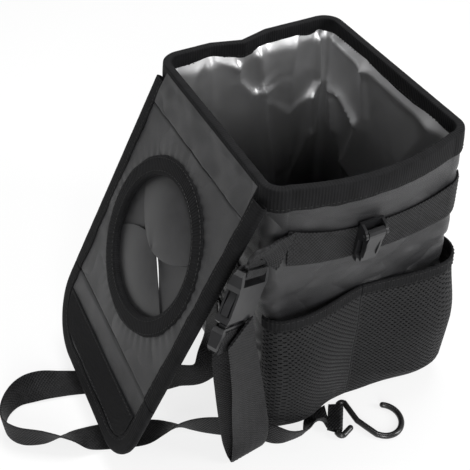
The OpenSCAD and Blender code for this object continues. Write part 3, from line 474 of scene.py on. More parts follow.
# routes repeat the source's points: place, the way its width runs and how far it is gathered
strapSizes = {"width": 30, "thick": 1.6, "hookWidth": 25, "hookThick": 1.5}
webRoute = [[[-93.1, -102.6, 206], [-0.7, -0.44, 0.56], 0.86], [[-89.9, -101, 211], [-0.7, -0.44, 0.56], 0.66],
            [[-84.5, -99.8, 211], [-0.4, -0.4, 0.8], 0.6], [[-76, -97.6, 207], [0, -0.1, 1], 0.7],
            [[-67.2, -96, 202], [0, 0, 1], 1]]
wideRoute = [[[-81.7, 79, 187], [0, 0, 1]], [[-83, 60, 187], [0, 0, 1]], [[-84, 30, 186], [0, 0, 1]],
             [[-85, 0, 184], [0, 0, 1]], [[-86, -30, 179], [0, -0.15, 1]], [[-89, -58, 171], [0, -0.4, 0.9]],
             [[-95, -80, 157], [0.2, -0.75, 0.6]], [[-102, -92, 137], [0.6, -0.7, 0.35]],
             [[-107, -99, 112], [0.9, -0.35, 0.15]], [[-107, -101, 84], [1, -0.2, 0]],
             [[-105, -101, 50], [1, -0.2, 0]], [[-103, -101.5, 20], [1, -0.15, 0]],
             [[-101, -103.5, 5], [1, -0.1, 0]], [[-100.5, -106.5, 1.8], [1, 0.13, 0]],
             [[-100.2, -109.5, 5], [1, 0.1, 0]], [[-98.5, -111, 29], [1, -0.05, 0]],
             [[-102, -113.5, 74], [0.95, 0.2, 0]], [[-105.5, -116.5, 111], [0.9, 0.4, 0]],
             [[-109, -118.5, 144], [0.85, 0.5, 0]], [[-111, -119, 168], [0.85, 0.53, 0]]]
hookRoute = [[[-83.4, -7, 150], [0, 1, 0]], [[-84, -8, 120], [0, 1, 0]], [[-86, -14, 85], [0, 1, 0.1]],
             [[-89, -22, 50], [0, 0.9, 0.4]], [[-95, -28, 24], [-0.2, 0.4, 0.9]], [[-107, -28, 13.2], [0, 0.1, 1]],
             [[-124, -21, 12.6], [0, 0.2, 1]], [[-140, -12, 9], [0, 0.75, 0.65]], [[-158, -1, 3.5], [0, 1, 0.15]],
             [[-178, 9, 1.6], [0, 1, 0]], [[-198, 17, 1.6], [0.1, 1, 0]], [[-214, 22, 3.4], [0, 1, 0.2]],
             [[-232, 24, 8.6], [0, 0.8, 0.6]], [[-250, 21, 12.4], [0, 0.3, 0.95]], [[-264, 10, 12.8], [0, 0, 1]],
             [[-268, -6, 12.8], [0, 0, 1]], [[-260, -20, 12.8], [0, 0, 1]], [[-243, -30, 12.6], [0, -0.2, 1]],
             [[-226, -35.5, 9.6], [0, -0.7, 0.7]], [[-210, -40, 3.4], [0, -1, 0.15]],
             [[-190, -46, 1.6], [0, -1, 0]], [[-170, -54, 2.6], [0.1, -1, 0.1]], [[-152, -62, 7], [0.2, -0.8, 0.5]],
             [[-136, -70, 11.2], [0.2, -0.45, 0.85]], [[-121, -78, 12.8], [0.1, -0.15, 1]],
             [[-107, -86, 12.8], [0, 0, 1]], [[-95, -94, 12.8], [0, 0, 1]], [[-85, -101.5, 12.8], [0, 0, 1]],
             [[-76, -109.5, 12.8], [0, 0, 1]], [[-66, -116, 12.4], [0, -0.3, 1]],
             [[-54, -117.5, 11.4], [-0.1, -0.4, 0.9]], [[-43.5, -112.5, 9.6], [-0.3, -0.55, 0.75], 0.95],
             [[-34, -107.5, 5.4], [-0.45, -0.8, 0.35], 0.8], [[-26.4, -109.2, 4.3], [-0.545, -0.84, 0], 0.96]]

wideStrap, wideLine, wideLength = strapPiece("wideStrap", wideRoute, strapSizes["width"], strapSizes["thick"],
                                             ["wide_strap"])
hookStrap, hookLine, hookLength = strapPiece("hookStrap", hookRoute, strapSizes["hookWidth"], strapSizes["hookThick"],
                                             ["hook_strap"])
strapPiece("buckleWeb", webRoute, strapSizes["width"], 2 * strapSizes["thick"], ["buckle_web"])
print("straps laid", round(wideLength), round(hookLength))

# the tub's wall, as a function of station, height and depth
tub = {"height": 250, "baseW": 156, "bellyW": 161, "rimW": 152, "baseD": 184, "bellyD": 189, "rimD": 182,
       "cornerR": 14, "rimBow": 12, "rimKink": 7, "wall": 1.6, "bandLo": 172, "wallTop": 248.5, "skinGap": 0.6}
# stations run round the wall from the front's left end; each wall and corner has some, and the run is in mm
stationMarks = [0, 14, 18, 30, 34, 48, 52, 64, 68]
stationRun = [0, 132, 154, 314, 336, 468, 490, 650, 672]
stationCount, wallLength = stationMarks[-1], stationRun[-1]


def bulged(base, belly, rim, z):
    t = np.clip(z / tub["height"], 0, 1)
    m = 2 * belly - (base + rim) / 2
    return (base * (1 - t) ** 2 + 2 * m * t * (1 - t) + rim * t * t) / 2


def halfW(z):
    return bulged(tub["baseW"], tub["bellyW"], tub["rimW"], z)


def halfD(z):
    return bulged(tub["baseD"], tub["bellyD"], tub["rimD"], z)


def frontSwell(x, xc, z):
    f = 1 - np.minimum(1, np.abs(x) / xc) ** 2
    slow = np.sin(np.radians(6 * x + 3 * z)) * np.sin(np.radians(2.5 * z + 30)) * (1 - smoothStep((z - 120) / 30))
    return f * (tub["rimBow"] * smoothStep((z - tub["bandLo"]) / (tub["height"] - tub["bandLo"])) + slow)


def wallPoint(s, z, off):
    s, z, off = np.broadcast_arrays(np.mod(np.asarray(s, float), stationCount), np.asarray(z, float),
                                    np.asarray(off, float))
    r = np.maximum(2, tub["cornerR"] - off)
    xc, yc = halfW(z) - tub["cornerR"], halfD(z) - tub["cornerR"]
    w, d = halfW(z) - off, halfD(z) - off
    cx, cy = w - r, d - r
    fx = -xc + 2 * xc * s / 14
    ry = -yc + 2 * yc * (s - 18) / 12
    bx = xc - 2 * xc * (s - 34) / 14
    ly = yc - 2 * yc * (s - 52) / 12
    dent = tub["rimKink"] * np.maximum(0, 1 - np.abs(bx + 9) / 24) * smoothStep((z - 196) / 50)
    side = 1.5 * (1 - np.minimum(1, np.abs(ry) / yc) ** 2) * np.sin(math.pi * z / tub["height"])
    parts = [s < 14, s < 18, s < 30, s < 34, s < 48, s < 52, s < 64]
    a1, a2 = np.radians(-90 + 22.5 * (s - 14)), np.radians(22.5 * (s - 30))
    a3, a4 = np.radians(90 + 22.5 * (s - 48)), np.radians(180 + 22.5 * (s - 64))
    x = np.select(parts, [fx, cx + r * np.cos(a1), w + side, cx + r * np.cos(a2), bx, -cx + r * np.cos(a3), -w],
                  -cx + r * np.cos(a4))
    y = np.select(parts, [-d - frontSwell(fx, xc, z), -cy + r * np.sin(a1), ry, cy + r * np.sin(a2), d - dent,
                          cy + r * np.sin(a3), ly], -cy + r * np.sin(a4))
    return np.stack([x, y, z], -1)


def wallRun(s):
    # distance along the wall from the middle of the front, the same both ways, so that threads meet at the back
    q = np.interp(np.mod(s, stationCount), stationMarks, stationRun)
    return np.abs(np.mod(q - 66 + wallLength / 2, wallLength) - wallLength / 2)


def bandRise(x):
    return 16 * ((x - 16) / 86) ** 2


def wallStation(wall, place):
    marks = {"front": (0, -66, 66, 14), "right": (18, -79, 79, 12), "back": (34, 66, -66, 14),
             "left": (52, 79, -79, 12)}
    first, lo, hi, count = marks[wall]
    return first + count * (np.asarray(place, float) - lo) / (hi - lo)


# depth of folded cloth or film along lines on the wall: a crest, steep on one side and shallow on the other
def foldDepth(q, z, folds):
    total = np.zeros_like(q)
    for wall, places, deep, width, steep in folds:
        qs = np.interp(wallStation(wall, [p[0] for p in places]), stationMarks, stationRun)
        ridge = np.zeros_like(q)
        for k in range(len(places) - 1):
            ax, az, bx, bz = qs[k], places[k][1], qs[k + 1], places[k + 1][1]
            length = math.hypot(bx - ax, bz - az)
            t = np.clip(((q - ax) * (bx - ax) + (z - az) * (bz - az)) / length ** 2, 0, 1)
            away = np.hypot(q - ax - t * (bx - ax), z - az - t * (bz - az))
            turn = ((bx - ax) * (z - az) - (bz - az) * (q - ax)) / length * steep
            reach = width * (0.95 - 0.6 * smoothStep(0.5 + turn / 3))
            ends = 0.35 + 0.65 * math.sin(math.pi * (k + 0.5) / (len(places) - 1))
            ridge = np.maximum(ridge, np.exp(-(np.sqrt(away ** 2 + 1.4) - 1.2) / reach) * (0.5 + 0.5 * ends))
        total += deep * np.minimum(ridge, 1)
    return total


# shell: tight over the front band, creased under it, in one closed loft
shellLook = {"columns": 400, "rowStep": 2.2, "crease": 2.0, "upperCrease": 1.0, "deepest": 1.15}
shellFolds = [
    ("front", [(-63, 141), (-46, 158), (-34, 171)], 1.9, 5, 1),
    ("front", [(-52, 139), (-22, 149), (4, 169)], 1.5, 6, -1),
    ("front", [(-4, 139), (4, 149), (28, 158), (60, 171)], 2.3, 4.5, 1),
    ("front", [(12, 171), (40, 160), (64, 150)], 1.5, 6, -1),
    ("front", [(-62, 229), (-40, 215), (-12, 211)], 1.7, 5, 1),
    ("front", [(-60, 205), (-34, 213), (-8, 206)], 1.4, 4, -1),
    ("front", [(14, 229), (38, 215), (63, 209)], 1.5, 6, 1),
    ("right", [(-74, 150), (-50, 176), (-20, 196)], 1.8, 7, 1),
    ("right", [(74, 140), (40, 170), (-10, 184)], 1.8, 8, -1),
    ("left", [(-60, 120), (-20, 150), (30, 160)], 1.8, 8, 1),
    ("back", [(50, 90), (10, 130), (-40, 150)], 1.8, 8, 1),
    ("back", [(-50, 60), (0, 80), (50, 60)], 1.6, 8, -1),
]


def shellCreases(points, z):
    big = softNoise(points * [1, 1, 1.3], 70, 11)
    folds = 1 - np.abs(softNoise(points * [0.8, 0.8, 1.7], 46, 12))
    tight = smoothStep((z - 168) / 8) * (1 - smoothStep((z - 203) / 8))
    band = shellLook["crease"] * (1 - smoothStep((z - 160) / 20))
    band = band + shellLook["upperCrease"] * smoothStep((z - 200) / 10)
    fade = smoothStep(z / 12) * (1 - smoothStep((z - 226) / 8)) * (1 - 0.7 * tight)
    return fade * band * (0.45 * big + 0.9 * np.clip(folds, -0.3, 1) - 0.25)


def makeShell():
    s = np.linspace(0, stationCount, shellLook["columns"], endpoint=False)
    z = np.concatenate([[0], np.arange(shellLook["rowStep"], 246, shellLook["rowStep"]), [tub["wallTop"]]])
    outer = wallPoint(s[None], z[:, None], 0)
    outward = -gridNormals(np.swapaxes(outer, 0, 1), closed=True).swapaxes(0, 1)
    inwardFlag = np.sign(np.sum(outward * (outer * [1, 1, 0]), -1, keepdims=True))
    outward = outward * inwardFlag * [1, 1, 0]
    depth = shellCreases(outer, outer[..., 2])
    q = np.interp(s, stationMarks, stationRun)
    edges = smoothStep(z / 12) * (1 - smoothStep((z - 228) / 6))
    depth = depth + foldDepth(*np.broadcast_arrays(q[None], z[:, None]), shellFolds) * edges[:, None]
    # creases stay within the cloth's thickness
    depth = shellLook["deepest"] * np.tanh((depth - 0.3) / shellLook["deepest"])
    outer = outer - unitRows(outward) * depth[..., None]
    zin = np.array([246.0, 200, 150, 100, 50, tub["wall"]])
    inner = wallPoint(s[None], zin[:, None], tub["wall"])
    rings = np.concatenate([outer, wallPoint(s, np.full_like(s, tub["wallTop"]), tub["wall"])[None], inner])
    allZ = np.concatenate([z, [tub["wallTop"]], zin])
    thread = np.stack(np.broadcast_arrays(wallRun(s)[None], allZ[:, None]), -1)
    return loftPiece("bodyShell", rings, "shellCloth", "tub", "shell_fabric", thread, thin=False,
                     replaces=["body_shell"])


makeShell()
print("shell made")

# liner: folds seen in the film, each from one place on a wall to the next, with its depth and width in mm and
# its steep side. A place on the back wall is x and z, on the side and front walls y or x and z.
linerLook = {"columns": 380, "rowStep": 2.4, "off": 1.9, "film": 0.5, "facet": 5.5, "floorZ": 4.6}
linerFolds = [
    ("back", [(6, 236), (10, 205), (22, 108), (24, 60)], 7.0, 12, 1),
    ("back", [(-40, 246), (-38, 222), (-34, 190)], 3.4, 9, 1),
    ("back", [(-40, 246), (-52, 226), (-60, 196)], 2.6, 8, -1),
    ("back", [(-40, 244), (-24, 232), (-14, 226)], 2.6, 6, 1),
    ("back", [(-14, 228), (-12, 212), (2, 196), (10, 198)], 5.0, 7, -1),
    ("back", [(44, 243), (38, 200), (36, 168), (40, 120)], 3.2, 14, -1),
    ("back", [(65, 243), (66, 192), (58, 178), (60, 138)], 5.5, 9, 1),
    ("back", [(60, 138), (40, 96), (30, 50)], 3.4, 14, 1),
    ("back", [(16, 186), (36, 168), (58, 178)], 2.6, 9, -1),
    ("right", [(66, 150), (75, 187), (60, 189), (33, 175), (48, 127)], 6.5, 9, 1),
    ("right", [(30, 231), (31, 217), (26, 187), (33, 175)], 4.2, 10, -1),
    ("right", [(48, 127), (10, 96), (-30, 50)], 3.6, 16, 1),
    ("right", [(30, 231), (-11, 230), (-60, 229)], 2.2, 6, 1),
    ("right", [(-56, 228), (-29, 182), (-40, 120)], 2.8, 16, -1),
    ("right", [(78, 232), (30, 231)], 2.2, 6, 1),
    ("front", [(-50, 236), (-20, 180), (-30, 110)], 3.4, 14, 1),
    ("front", [(40, 236), (20, 170), (45, 100)], 3.4, 14, -1),
    ("left", [(-60, 230), (-30, 170), (-50, 90)], 3.6, 14, 1),
    ("left", [(40, 235), (30, 180), (55, 110)], 3.6, 14, -1),
]


def filmDepth(q, z):
    # broad flat facets that meet in straight creases
    rng = np.random.default_rng(5)
    depth = np.zeros_like(q)
    for wave, slant, share in ((150, 0.55, 0.34), (118, -0.8, 0.3), (86, 0.2, 0.2), (64, -0.35, 0.16)):
        turns = max(1, round(wallLength / wave))
        phase = (q * turns / wallLength + slant * z / wave + rng.uniform(0, 1)) % 1
        depth += linerLook["facet"] * share * (1 - np.abs(2 * phase - 1))
    return depth + foldDepth(q, z, linerFolds)


def makeLiner():
    s = np.linspace(0, stationCount, linerLook["columns"], endpoint=False)
    q = np.interp(s, stationMarks, stationRun)
    z = np.concatenate([np.arange(linerLook["floorZ"], 247, linerLook["rowStep"]), [tub["wallTop"]]])[::-1]
    fade = smoothStep((246 - z) / 16) * smoothStep((z - 6) / 22)
    depth = np.clip(filmDepth(*np.broadcast_arrays(q[None], z[:, None])), 0, 14) * fade[:, None]
    inner = wallPoint(s[None], z[:, None], linerLook["off"] + linerLook["film"] + depth)
    # the back of the film keeps clear of its face where the folds are steep
    outer = wallPoint(s[None], z[::-1, None], linerLook["off"] + np.maximum(0, depth[::-1] - 1.6))
    # the film's floor, in rings that close towards the middle, with low creases
    centre = np.array([0, 0, linerLook["floorZ"] + linerLook["film"]])
    floorRings = []
    for f in (0.8, 0.6, 0.4, 0.2, 0.05):
        ring = centre + (inner[-1] - [0, 0, inner[-1, 0, 2]]) * f * [1, 1, 0]
        rise = 1.2 * np.maximum(0, softNoise(ring * [1, 1, 0], 40, 22))
        ring[:, 2] = linerLook["floorZ"] + linerLook["film"] + rise
        floorRings.append(ring)
    rings = np.concatenate([outer, inner, np.array(floorRings)])
    return loftPiece("linerFilm", rings, "linerFilm", "tub", "liner_film", thin=False, replaces=["liner"], sharp=50)


makeLiner()
print("liner made")


# rim binding: folded tape all round the top, with a stitched lower edge
rimLook = {"columns": 460, "out": -1.8, "inside": 3.1, "tape": 1.2, "foot": 233, "innerFoot": 236.4, "stitchZ": 235.2}


def rimProfile():
    o, i, t, top = rimLook["out"], rimLook["inside"], rimLook["tape"], tub["height"]
    outer = [(o - 0.25 * math.sin(math.pi * k / 7), rimLook["foot"] + (top - 1.6 - rimLook["foot"]) * k / 7)
             for k in range(8)]
    crown = [(o + 0.15, top - 0.6), (o + 0.7, top - 0.1), (o + 1.8, top), (i + 0.2, top), (i + t - 0.6, top - 0.15),
             (i + t - 0.1, top - 0.7)]
    inner = [(i + t + 0.15 * math.sin(math.pi * k / 5), top - 1.8 + (rimLook["innerFoot"] - top + 1.8) * k / 5)
             for k in range(6)]
    hidden = [(i, rimLook["innerFoot"]), (i, top - 2.2), (i - 0.5, top - t), (-0.2, top - t), (-0.55, top - 2.2),
              (-0.55, rimLook["foot"])]
    return outer + crown + inner + hidden


def makeRim():
    s = np.linspace(0, stationCount, rimLook["columns"], endpoint=False)
    profile = np.array(rimProfile())
    plain = wallPoint(s, np.full_like(s, 240.0), 0)
    ripple = 0.3 * softNoise(plain, 26, 31) + 0.12 * softNoise(plain, 9, 32)
    z = profile[None, :, 1] + ripple[:, None] * np.clip((tub["height"] - profile[None, :, 1]) / 14, 0, 1)
    off = profile[None, :, 0] - 0.16 * np.abs(ripple)[:, None] * (profile[None, :, 0] < 0)
    rings = wallPoint(s[:, None], z, off)
    run = np.broadcast_to(wallRun(s)[:, None], z.shape)
    around = np.broadcast_to(np.arange(len(profile)) * 1.5, z.shape)
    loftPiece("rimBinding", rings, "edgeTape", "tub", "edge_tape", np.stack([run, around], -1), closed=True,
              replaces=["rim_binding"], sharp=60)
    for name, off, z in (("rimStitchOuter", rimLook["out"] - 0.12, rimLook["stitchZ"]),
                         ("rimStitchInner", rimLook["inside"] + rimLook["tape"] + 0.1, rimLook["innerFoot"] + 2.2)):
        line = wallPoint(s, np.full_like(s, z), off)
        side = wallPoint(s, np.full_like(s, z), off - 1) - wallPoint(s, np.full_like(s, z), off + 1)
        stitchRow(name, line, side if off < 0 else -side, "tub", closed=True)


makeRim()


# bands and tapes that lie on the wall
def wallBand(name, first, last, low, high, thick, material, slotName, replaces, rise=None, look=weaveLook):
    start, stop = np.interp([first, last], stationMarks, stationRun)
    count = int((stop - start) / look["alongStep"])
    run = np.linspace(start, stop, count)
    s = np.interp(run, stationRun, stationMarks)
    across, halfThick = ribbedSection(high - low, thick, look)
    z = (low + high) / 2 + across[None] + np.zeros_like(s)[:, None]
    if rise is not None:
        z = z + rise(wallPoint(s, np.full_like(s, low), 0)[:, 0])[:, None]
    weave = weaveOver(run, across, look) * np.minimum(1, (np.abs(high - low) / 2 - np.abs(across)) / 1.5)[None]
    middle = -tub["skinGap"] - thick / 2
    front = wallPoint(s[:, None], z, middle - halfThick[None] - weave)
    back = wallPoint(s[:, None], z, middle + halfThick[None])
    sheetPiece(name, front, back, material, "tub", slotName, gridPlaces(run - start, across), replaces=replaces,
               sharp=60)


# stitches across or along a wall band, at heights from its middle
def bandStitches(name, stations, heights, off, rise=None):
    stations, heights = np.broadcast_arrays(np.asarray(stations, float), np.asarray(heights, float))
    if rise is not None:
        heights = heights + rise(wallPoint(stations, np.full_like(stations, tub["bandLo"]), 0)[:, 0])
    line = wallPoint(stations, heights, off)
    stitchRow(name, line, wallPoint(stations, heights, off - 1) - line, "tub")


bandLook = {"low": 172, "high": 202, "thick": 1.6, "patchThick": 1.4, "loopThick": 1.0}
wallBand("frontBand", 0, 17, bandLook["low"], bandLook["high"], bandLook["thick"], "webbing", "webbing",
         ["front_band"], bandRise)
wallBand("backBand", 32, 52, bandLook["low"], bandLook["high"], bandLook["thick"], "webbing", "webbing",
         ["back_band"])
fuzzLook = {"alongPitch": 1.9, "acrossPitch": 1.7, "depth": 0.18, "alongStep": 0.95, "acrossStep": 0.9}
wallBand("loopTape", 19, 29, 202, 232, bandLook["loopThick"], "loopTape", "loop_tape", ["loop_tape"], look=fuzzLook)
wallBand("strapPatch", 57, 60, 135, 161, bandLook["patchThick"], "webbing", "webbing", ["strap_patch"])
bandEdge = -tub["skinGap"] - bandLook["thick"]
for index, station in enumerate((0.5, 4.1, 11.4, 16.5)):
    bandStitches(f"bandStitch{index}", np.full(12, station), np.linspace(174, 200, 12), bandEdge, bandRise)
for index, edge in enumerate((203.8, 230.2)):
    bandStitches(f"loopStitch{index}", np.linspace(19.3, 28.7, 60), np.full(60, edge),
                 -tub["skinGap"] - bandLook["loopThick"])
for index, station in enumerate((32.5, 51.5)):
    bandStitches(f"backStitch{index}", np.full(12, station), np.linspace(174, 200, 12), bandEdge)
patchEdge = -tub["skinGap"] - bandLook["patchThick"]
for end, edge in (("Top", 158.6), ("Low", 137.4)):
    bandStitches(f"patchStitch{end}", np.linspace(57.2, 59.8, 12), np.full(12, edge), patchEdge)
print("bands sewn")

# mesh pockets with open cells under an elastic
pocket = {"foot": 3, "height": 138, "elasticH": 11, "bulge": 19, "leftEnd": -80, "rightEnd": 98, "mouth": 0.4,
          "cellWidth": 4.2, "cellHeight": 2.2, "holeWidth": 0.27, "holeHeight": 0.27, "meshThick": 1.3}


def alongWall(mm, z):
    xc = halfW(z) - tub["cornerR"]
    d, side = np.abs(mm), np.sign(mm)
    cornerRun = tub["cornerR"] * 1.57
    onFront = 7 + side * 7 * d / xc
    leftCorner = -4 * (d - xc) / cornerRun
    rightCorner = 14 + 4 * (d - xc) / cornerRun
    rightWall = 18 + 12 * (d - xc - cornerRun) / (2 * halfD(z) - 2 * tub["cornerR"])
    return np.where(d <= xc, onFront,
                    np.where(side < 0, leftCorner, np.where(d <= xc + cornerRun, rightCorner, rightWall)))


def pocketPoint(u, z, end, out):
    u, z, out = np.broadcast_arrays(np.asarray(u, float), np.asarray(z, float), np.asarray(out, float))
    mm = 0.3 * np.sign(end) + u * (end - 0.3 * np.sign(end))
    lobe = np.maximum(0, np.sin(math.pi * np.clip(u, 0, 1) ** 1.5)) ** 0.8
    closing = 1 - (1 - pocket["mouth"]) * smoothStep((z - 70) / (pocket["height"] - 70))
    swell = np.sqrt(np.clip((z - pocket["foot"] + 1) / 24, 0, 1)) * closing
    return wallPoint(alongWall(mm, z), z, -tub["skinGap"] - out - pocket["bulge"] * lobe * swell)


def makePocketMesh(name, end, replaces):
    columns = int(round(abs(end) / pocket["cellWidth"]))
    top = pocket["height"] - pocket["elasticH"] - 0.3
    rows = int(round((top - pocket["foot"]) / pocket["cellHeight"]))
    wide = 2 * columns + 1
    tall = (top - pocket["foot"]) / rows
    u, z, high = [], [], []
    for k in range(rows + 1):
        for i in range(wide):
            u.append(i / (2 * columns))
            z.append(pocket["foot"] + k * tall)
            high.append(0.0)
    quads, holes = [], []
    hw, hh = pocket["holeWidth"] / columns, pocket["holeHeight"] * tall
    ring = [(-0.8, -0.62), (0, -1), (0.8, -0.62), (0.8, 0.62), (0, 1), (-0.8, 0.62)]
    # towards its outer end the net is drawn together and its cells close up
    drawn = 1 - 0.7 * smoothStep((np.arange(wide) / (2 * columns) - 0.8) / 0.14) * (end > 0)
    for k in range(rows):
        first = k % 2
        if first:
            for i in (0, wide - 2):
                a = k * wide + i
                quads.append([a, a + 1, a + 1 + wide, a + wide])
        for i in range(first, wide - 2, 2):
            a = k * wide + i
            around = [a, a + 1, a + 2, a + 2 + wide, a + 1 + wide, a + wide]
            base = len(u)
            for dx, dz in ring:
                u.append((i + 1) / (2 * columns) + dx * hw * drawn[i + 1])
                z.append(pocket["foot"] + (k + 0.5) * tall + dz * hh * drawn[i + 1])
                high.append(-0.28)
            for t in range(6):
                v = (t + 1) % 6
                quads.append([around[t], around[v], base + v, base + t])
                holes.append([base + t, base + v])
    u, z, high = map(np.array, (u, z, high))
    count = len(u)
    front = pocketPoint(u, z, end, pocket["meshThick"] + high)
    back = pocketPoint(u, z, end, 0.15 - high * 0.4)
    faces = quads + [[v + count for v in f[::-1]] for f in quads]
    faces += [[b, a, a + count, b + count] for a, b in holes]
    edge = list(range(wide)) + [k * wide + wide - 1 for k in range(1, rows + 1)]
    edge += [rows * wide + i for i in range(wide - 2, -1, -1)] + [k * wide for k in range(rows - 1, 0, -1)]
    faces += [[b, a, a + count, b + count] for a, b in zip(edge, edge[1:] + edge[:1])]
    points = np.concatenate([front, back])
    thread = np.stack([u * abs(end), z], -1)
    faces = turnOutward(points, faces)
    return makePiece(name, points, faces, "meshCord", "tub", np.concatenate([thread, thread]), replaces,
                     sharp=70)


def makeElastic(name, end, replaces):
    u = np.linspace(0, 1, 150)
    low, high = pocket["height"] - pocket["elasticH"], pocket["height"]
    z = np.array([0, 0.06, 0.14, 0.3, 0.5, 0.7, 0.86, 0.94, 1]) * (high - low) + low
    puff = np.array([0.55, 0.85, 1, 1.03, 1.05, 1.03, 1, 0.85, 0.55])
    gather = 0.05 * np.sin(u * abs(end) * 2 * math.pi / 3.6)[:, None]
    gather = gather * np.array([0.2, 0.8, 1, 1, 1, 1, 1, 0.8, 0.2])[None]
    front = pocketPoint(u[:, None], z[None], end, 2 * puff[None] + gather)
    back = pocketPoint(u[:, None], z[None], end, 0.1 + 0 * puff[None])
    sheetPiece(name, front, back, "edgeTape", "tub", "edge_tape", gridPlaces(u * abs(end), z), replaces=replaces,
               sharp=60)
    for index, lift in enumerate((2.0, 9.2)):
        line = pocketPoint(u, np.full_like(u, low + lift), end, 2.1)
        stitchRow(f"{name}Stitch{index}", line, pocketPoint(u, np.full_like(u, low + lift), end, 3.1) - line, "tub")


for makePart, part, node in ((makePocketMesh, "pocketMesh", "pocket_mesh"),
                             (makeElastic, "pocketElastic", "pocket_elastic")):
    makePart(f"{part}Left", pocket["leftEnd"], [f"{node}_left"])
    makePart(f"{part}Right", pocket["rightEnd"], [f"{node}_right"])
print("pockets made")

# lid: u runs from the hinge to the flap's end, v along the hinge, w out of the inner face
lid = {"x": -83.8, "y": -3, "z": 246, "swing": -241.4, "inner": 4.4, "half": 87.5, "panelU": 22, "flapU": 188,
       "end": 254, "nearR": 32, "farR": 52, "tape": 13, "coverLow": 0.9, "coverHigh": 4.3, "full": 5.2,
       "holeU": 103, "holeR": 53, "holeTape": 15, "hookU": 208, "hookW": 30}


def lidPoint(u, v, w):
    u, v, w = np.broadcast_arrays(np.asarray(u, float), np.asarray(v, float), np.asarray(w, float) + lid["inner"])
    a = math.radians(lid["swing"])
    return np.stack([lid["x"] + u * math.cos(a) + w * math.sin(a), lid["y"] + v,
                     lid["z"] - u * math.sin(a) + w * math.cos(a)], -1)


# a row of stitches on the lid; way is 1 on the outer face and -1 on the inner one
def lidStitches(name, u, v, w, way, body, closed=False):
    line = lidPoint(u, v, w)
    stitchRow(name, line, lidPoint(u, v, w + way) - line, body, closed=closed)


def makePanel():
    # the panel's cloth, both faces, from the hole's edge out to the rectangle
    u0, u1, half = lid["panelU"] + 0.35, lid["flapU"] - 0.35, lid["half"] - 1.3
    edge = [(u, -half) for u in np.linspace(u0, u1, 80, endpoint=False)]
    edge += [(u1, v) for v in np.linspace(-half, half, 84, endpoint=False)]
    edge += [(u, half) for u in np.linspace(u1, u0, 80, endpoint=False)]
    edge += [(u0, v) for v in np.linspace(half, -half, 84, endpoint=False)]
    edge = np.array(edge)
    angle = np.arctan2(edge[:, 1], edge[:, 0] - lid["holeU"])
    start = np.stack([lid["holeU"] + (lid["holeR"] + 1.4) * np.cos(angle), (lid["holeR"] + 1.4) * np.sin(angle)], 1)
    f = np.linspace(0, 1, 26) ** 0.9
    spots = start[:, None] + f[None, :, None] * (edge - start)[:, None]
    u, v = spots[..., 0], spots[..., 1]
    flat = np.stack([u, v, 0 * u], -1)
    beyond = np.hypot(u - lid["holeU"], v) - lid["holeR"] - lid["holeTape"]
    pucker = 0.3 * np.exp(-np.maximum(beyond, 0) / 7) * np.sin(angle * 52)[:, None] * np.clip(beyond / 3 + 1, 0, 1)
    waves = 0.22 * softNoise(flat, 60, 41) + 0.12 * softNoise(flat * [1, 0.5, 1], 24, 42)
    # flat and still under the side tapes
    free = smoothStep((lid["half"] - np.abs(v) - 10) / 5)
    pucker, waves = pucker * free, waves * free
    drop = roundedDrop(np.minimum(np.minimum(u - u0, u1 - u) / 1.6, 1), 0.9)
    inside = lidPoint(u, v, lid["coverLow"] - 0.1 + pucker + waves + drop)
    outside = lidPoint(u, v, lid["coverHigh"] + 0.1 + 0.6 * waves - drop)
    place = np.stack([u, v], -1)
    sheetPiece("lidCover", inside, outside, "shellCloth", "lid", "shell_fabric", place, closed=True,
               replaces=["lid_cover"], sharp=50)


makePanel()


# a channel of tape along an edge: its path, and the way inwards at each point
def edgeTape(name, path, inward, body, replaces, seed):
    d, lo, hi = lid["tape"], 0.0, lid["full"]
    profile = [(d, lo + 0.9), (d, lo + 0.15), (d - 1, lo - 0.05), (d * 0.6, lo - 0.2), (d * 0.3, lo - 0.15),
               (2.2, lo), (0.8, lo + 0.5), (0.1, lo + 1.5), (-0.1, (lo + hi) / 2), (0.1, hi - 1.5), (0.8, hi - 0.5),
               (2.2, hi), (d * 0.3, hi + 0.15), (d * 0.6, hi + 0.2), (d - 1, hi + 0.05), (d, hi - 0.15),
               (d, hi - 0.9), (d * 0.5, hi - 0.92), (1.3, hi - 1), (1, hi - 1.6), (1, lo + 1.6), (1.3, lo + 1),
               (d * 0.5, lo + 0.92)]
    profile = np.array(profile)
    path, inward = np.asarray(path, float), unitRows(np.asarray(inward, float))
    run = runAlong(path)
    flat = np.concatenate([path, np.zeros((len(path), 1))], 1)
    ripple = 0.35 * softNoise(flat, 30, seed) + 0.15 * softNoise(flat, 8, seed + 1)
    reach = profile[None, :, 0] + ripple[:, None] * np.clip(profile[None, :, 0] / d, 0, 1) ** 3
    spot = path[:, None] + reach[..., None] * inward[:, None]
    rings = lidPoint(spot[..., 0], spot[..., 1],
                     profile[None, :, 1] + 0.12 * np.abs(ripple)[:, None] * np.sign(profile[None, :, 1] - hi / 2))
    thread = gridPlaces(run, np.arange(len(profile)) * 1.6)
    loftPiece(name, rings, "edgeTape", body, "edge_tape", thread, thin=False, replaces=replaces, sharp=60)
    spot = path + (d - 2.2) * inward
    for index, (w, way) in enumerate(((lo - 0.12, -1), (hi + 0.12, 1))):
        lidStitches(f"{name}Stitch{index}", spot[:, 0], spot[:, 1], w, way, body)


for side, name, node in ((-1, "lidTapeNear", "lid_tape_near"), (1, "lidTapeFar", "lid_tape_far")):
    us = np.linspace(5, lid["flapU"] - 0.4, 150)
    edge = side * lid["half"] * np.ones_like(us)
    edgeTape(name, np.stack([us, edge], 1), np.stack([0 * us, -side * np.ones_like(us)], 1), "lid", [node],
             seed=50 + side)


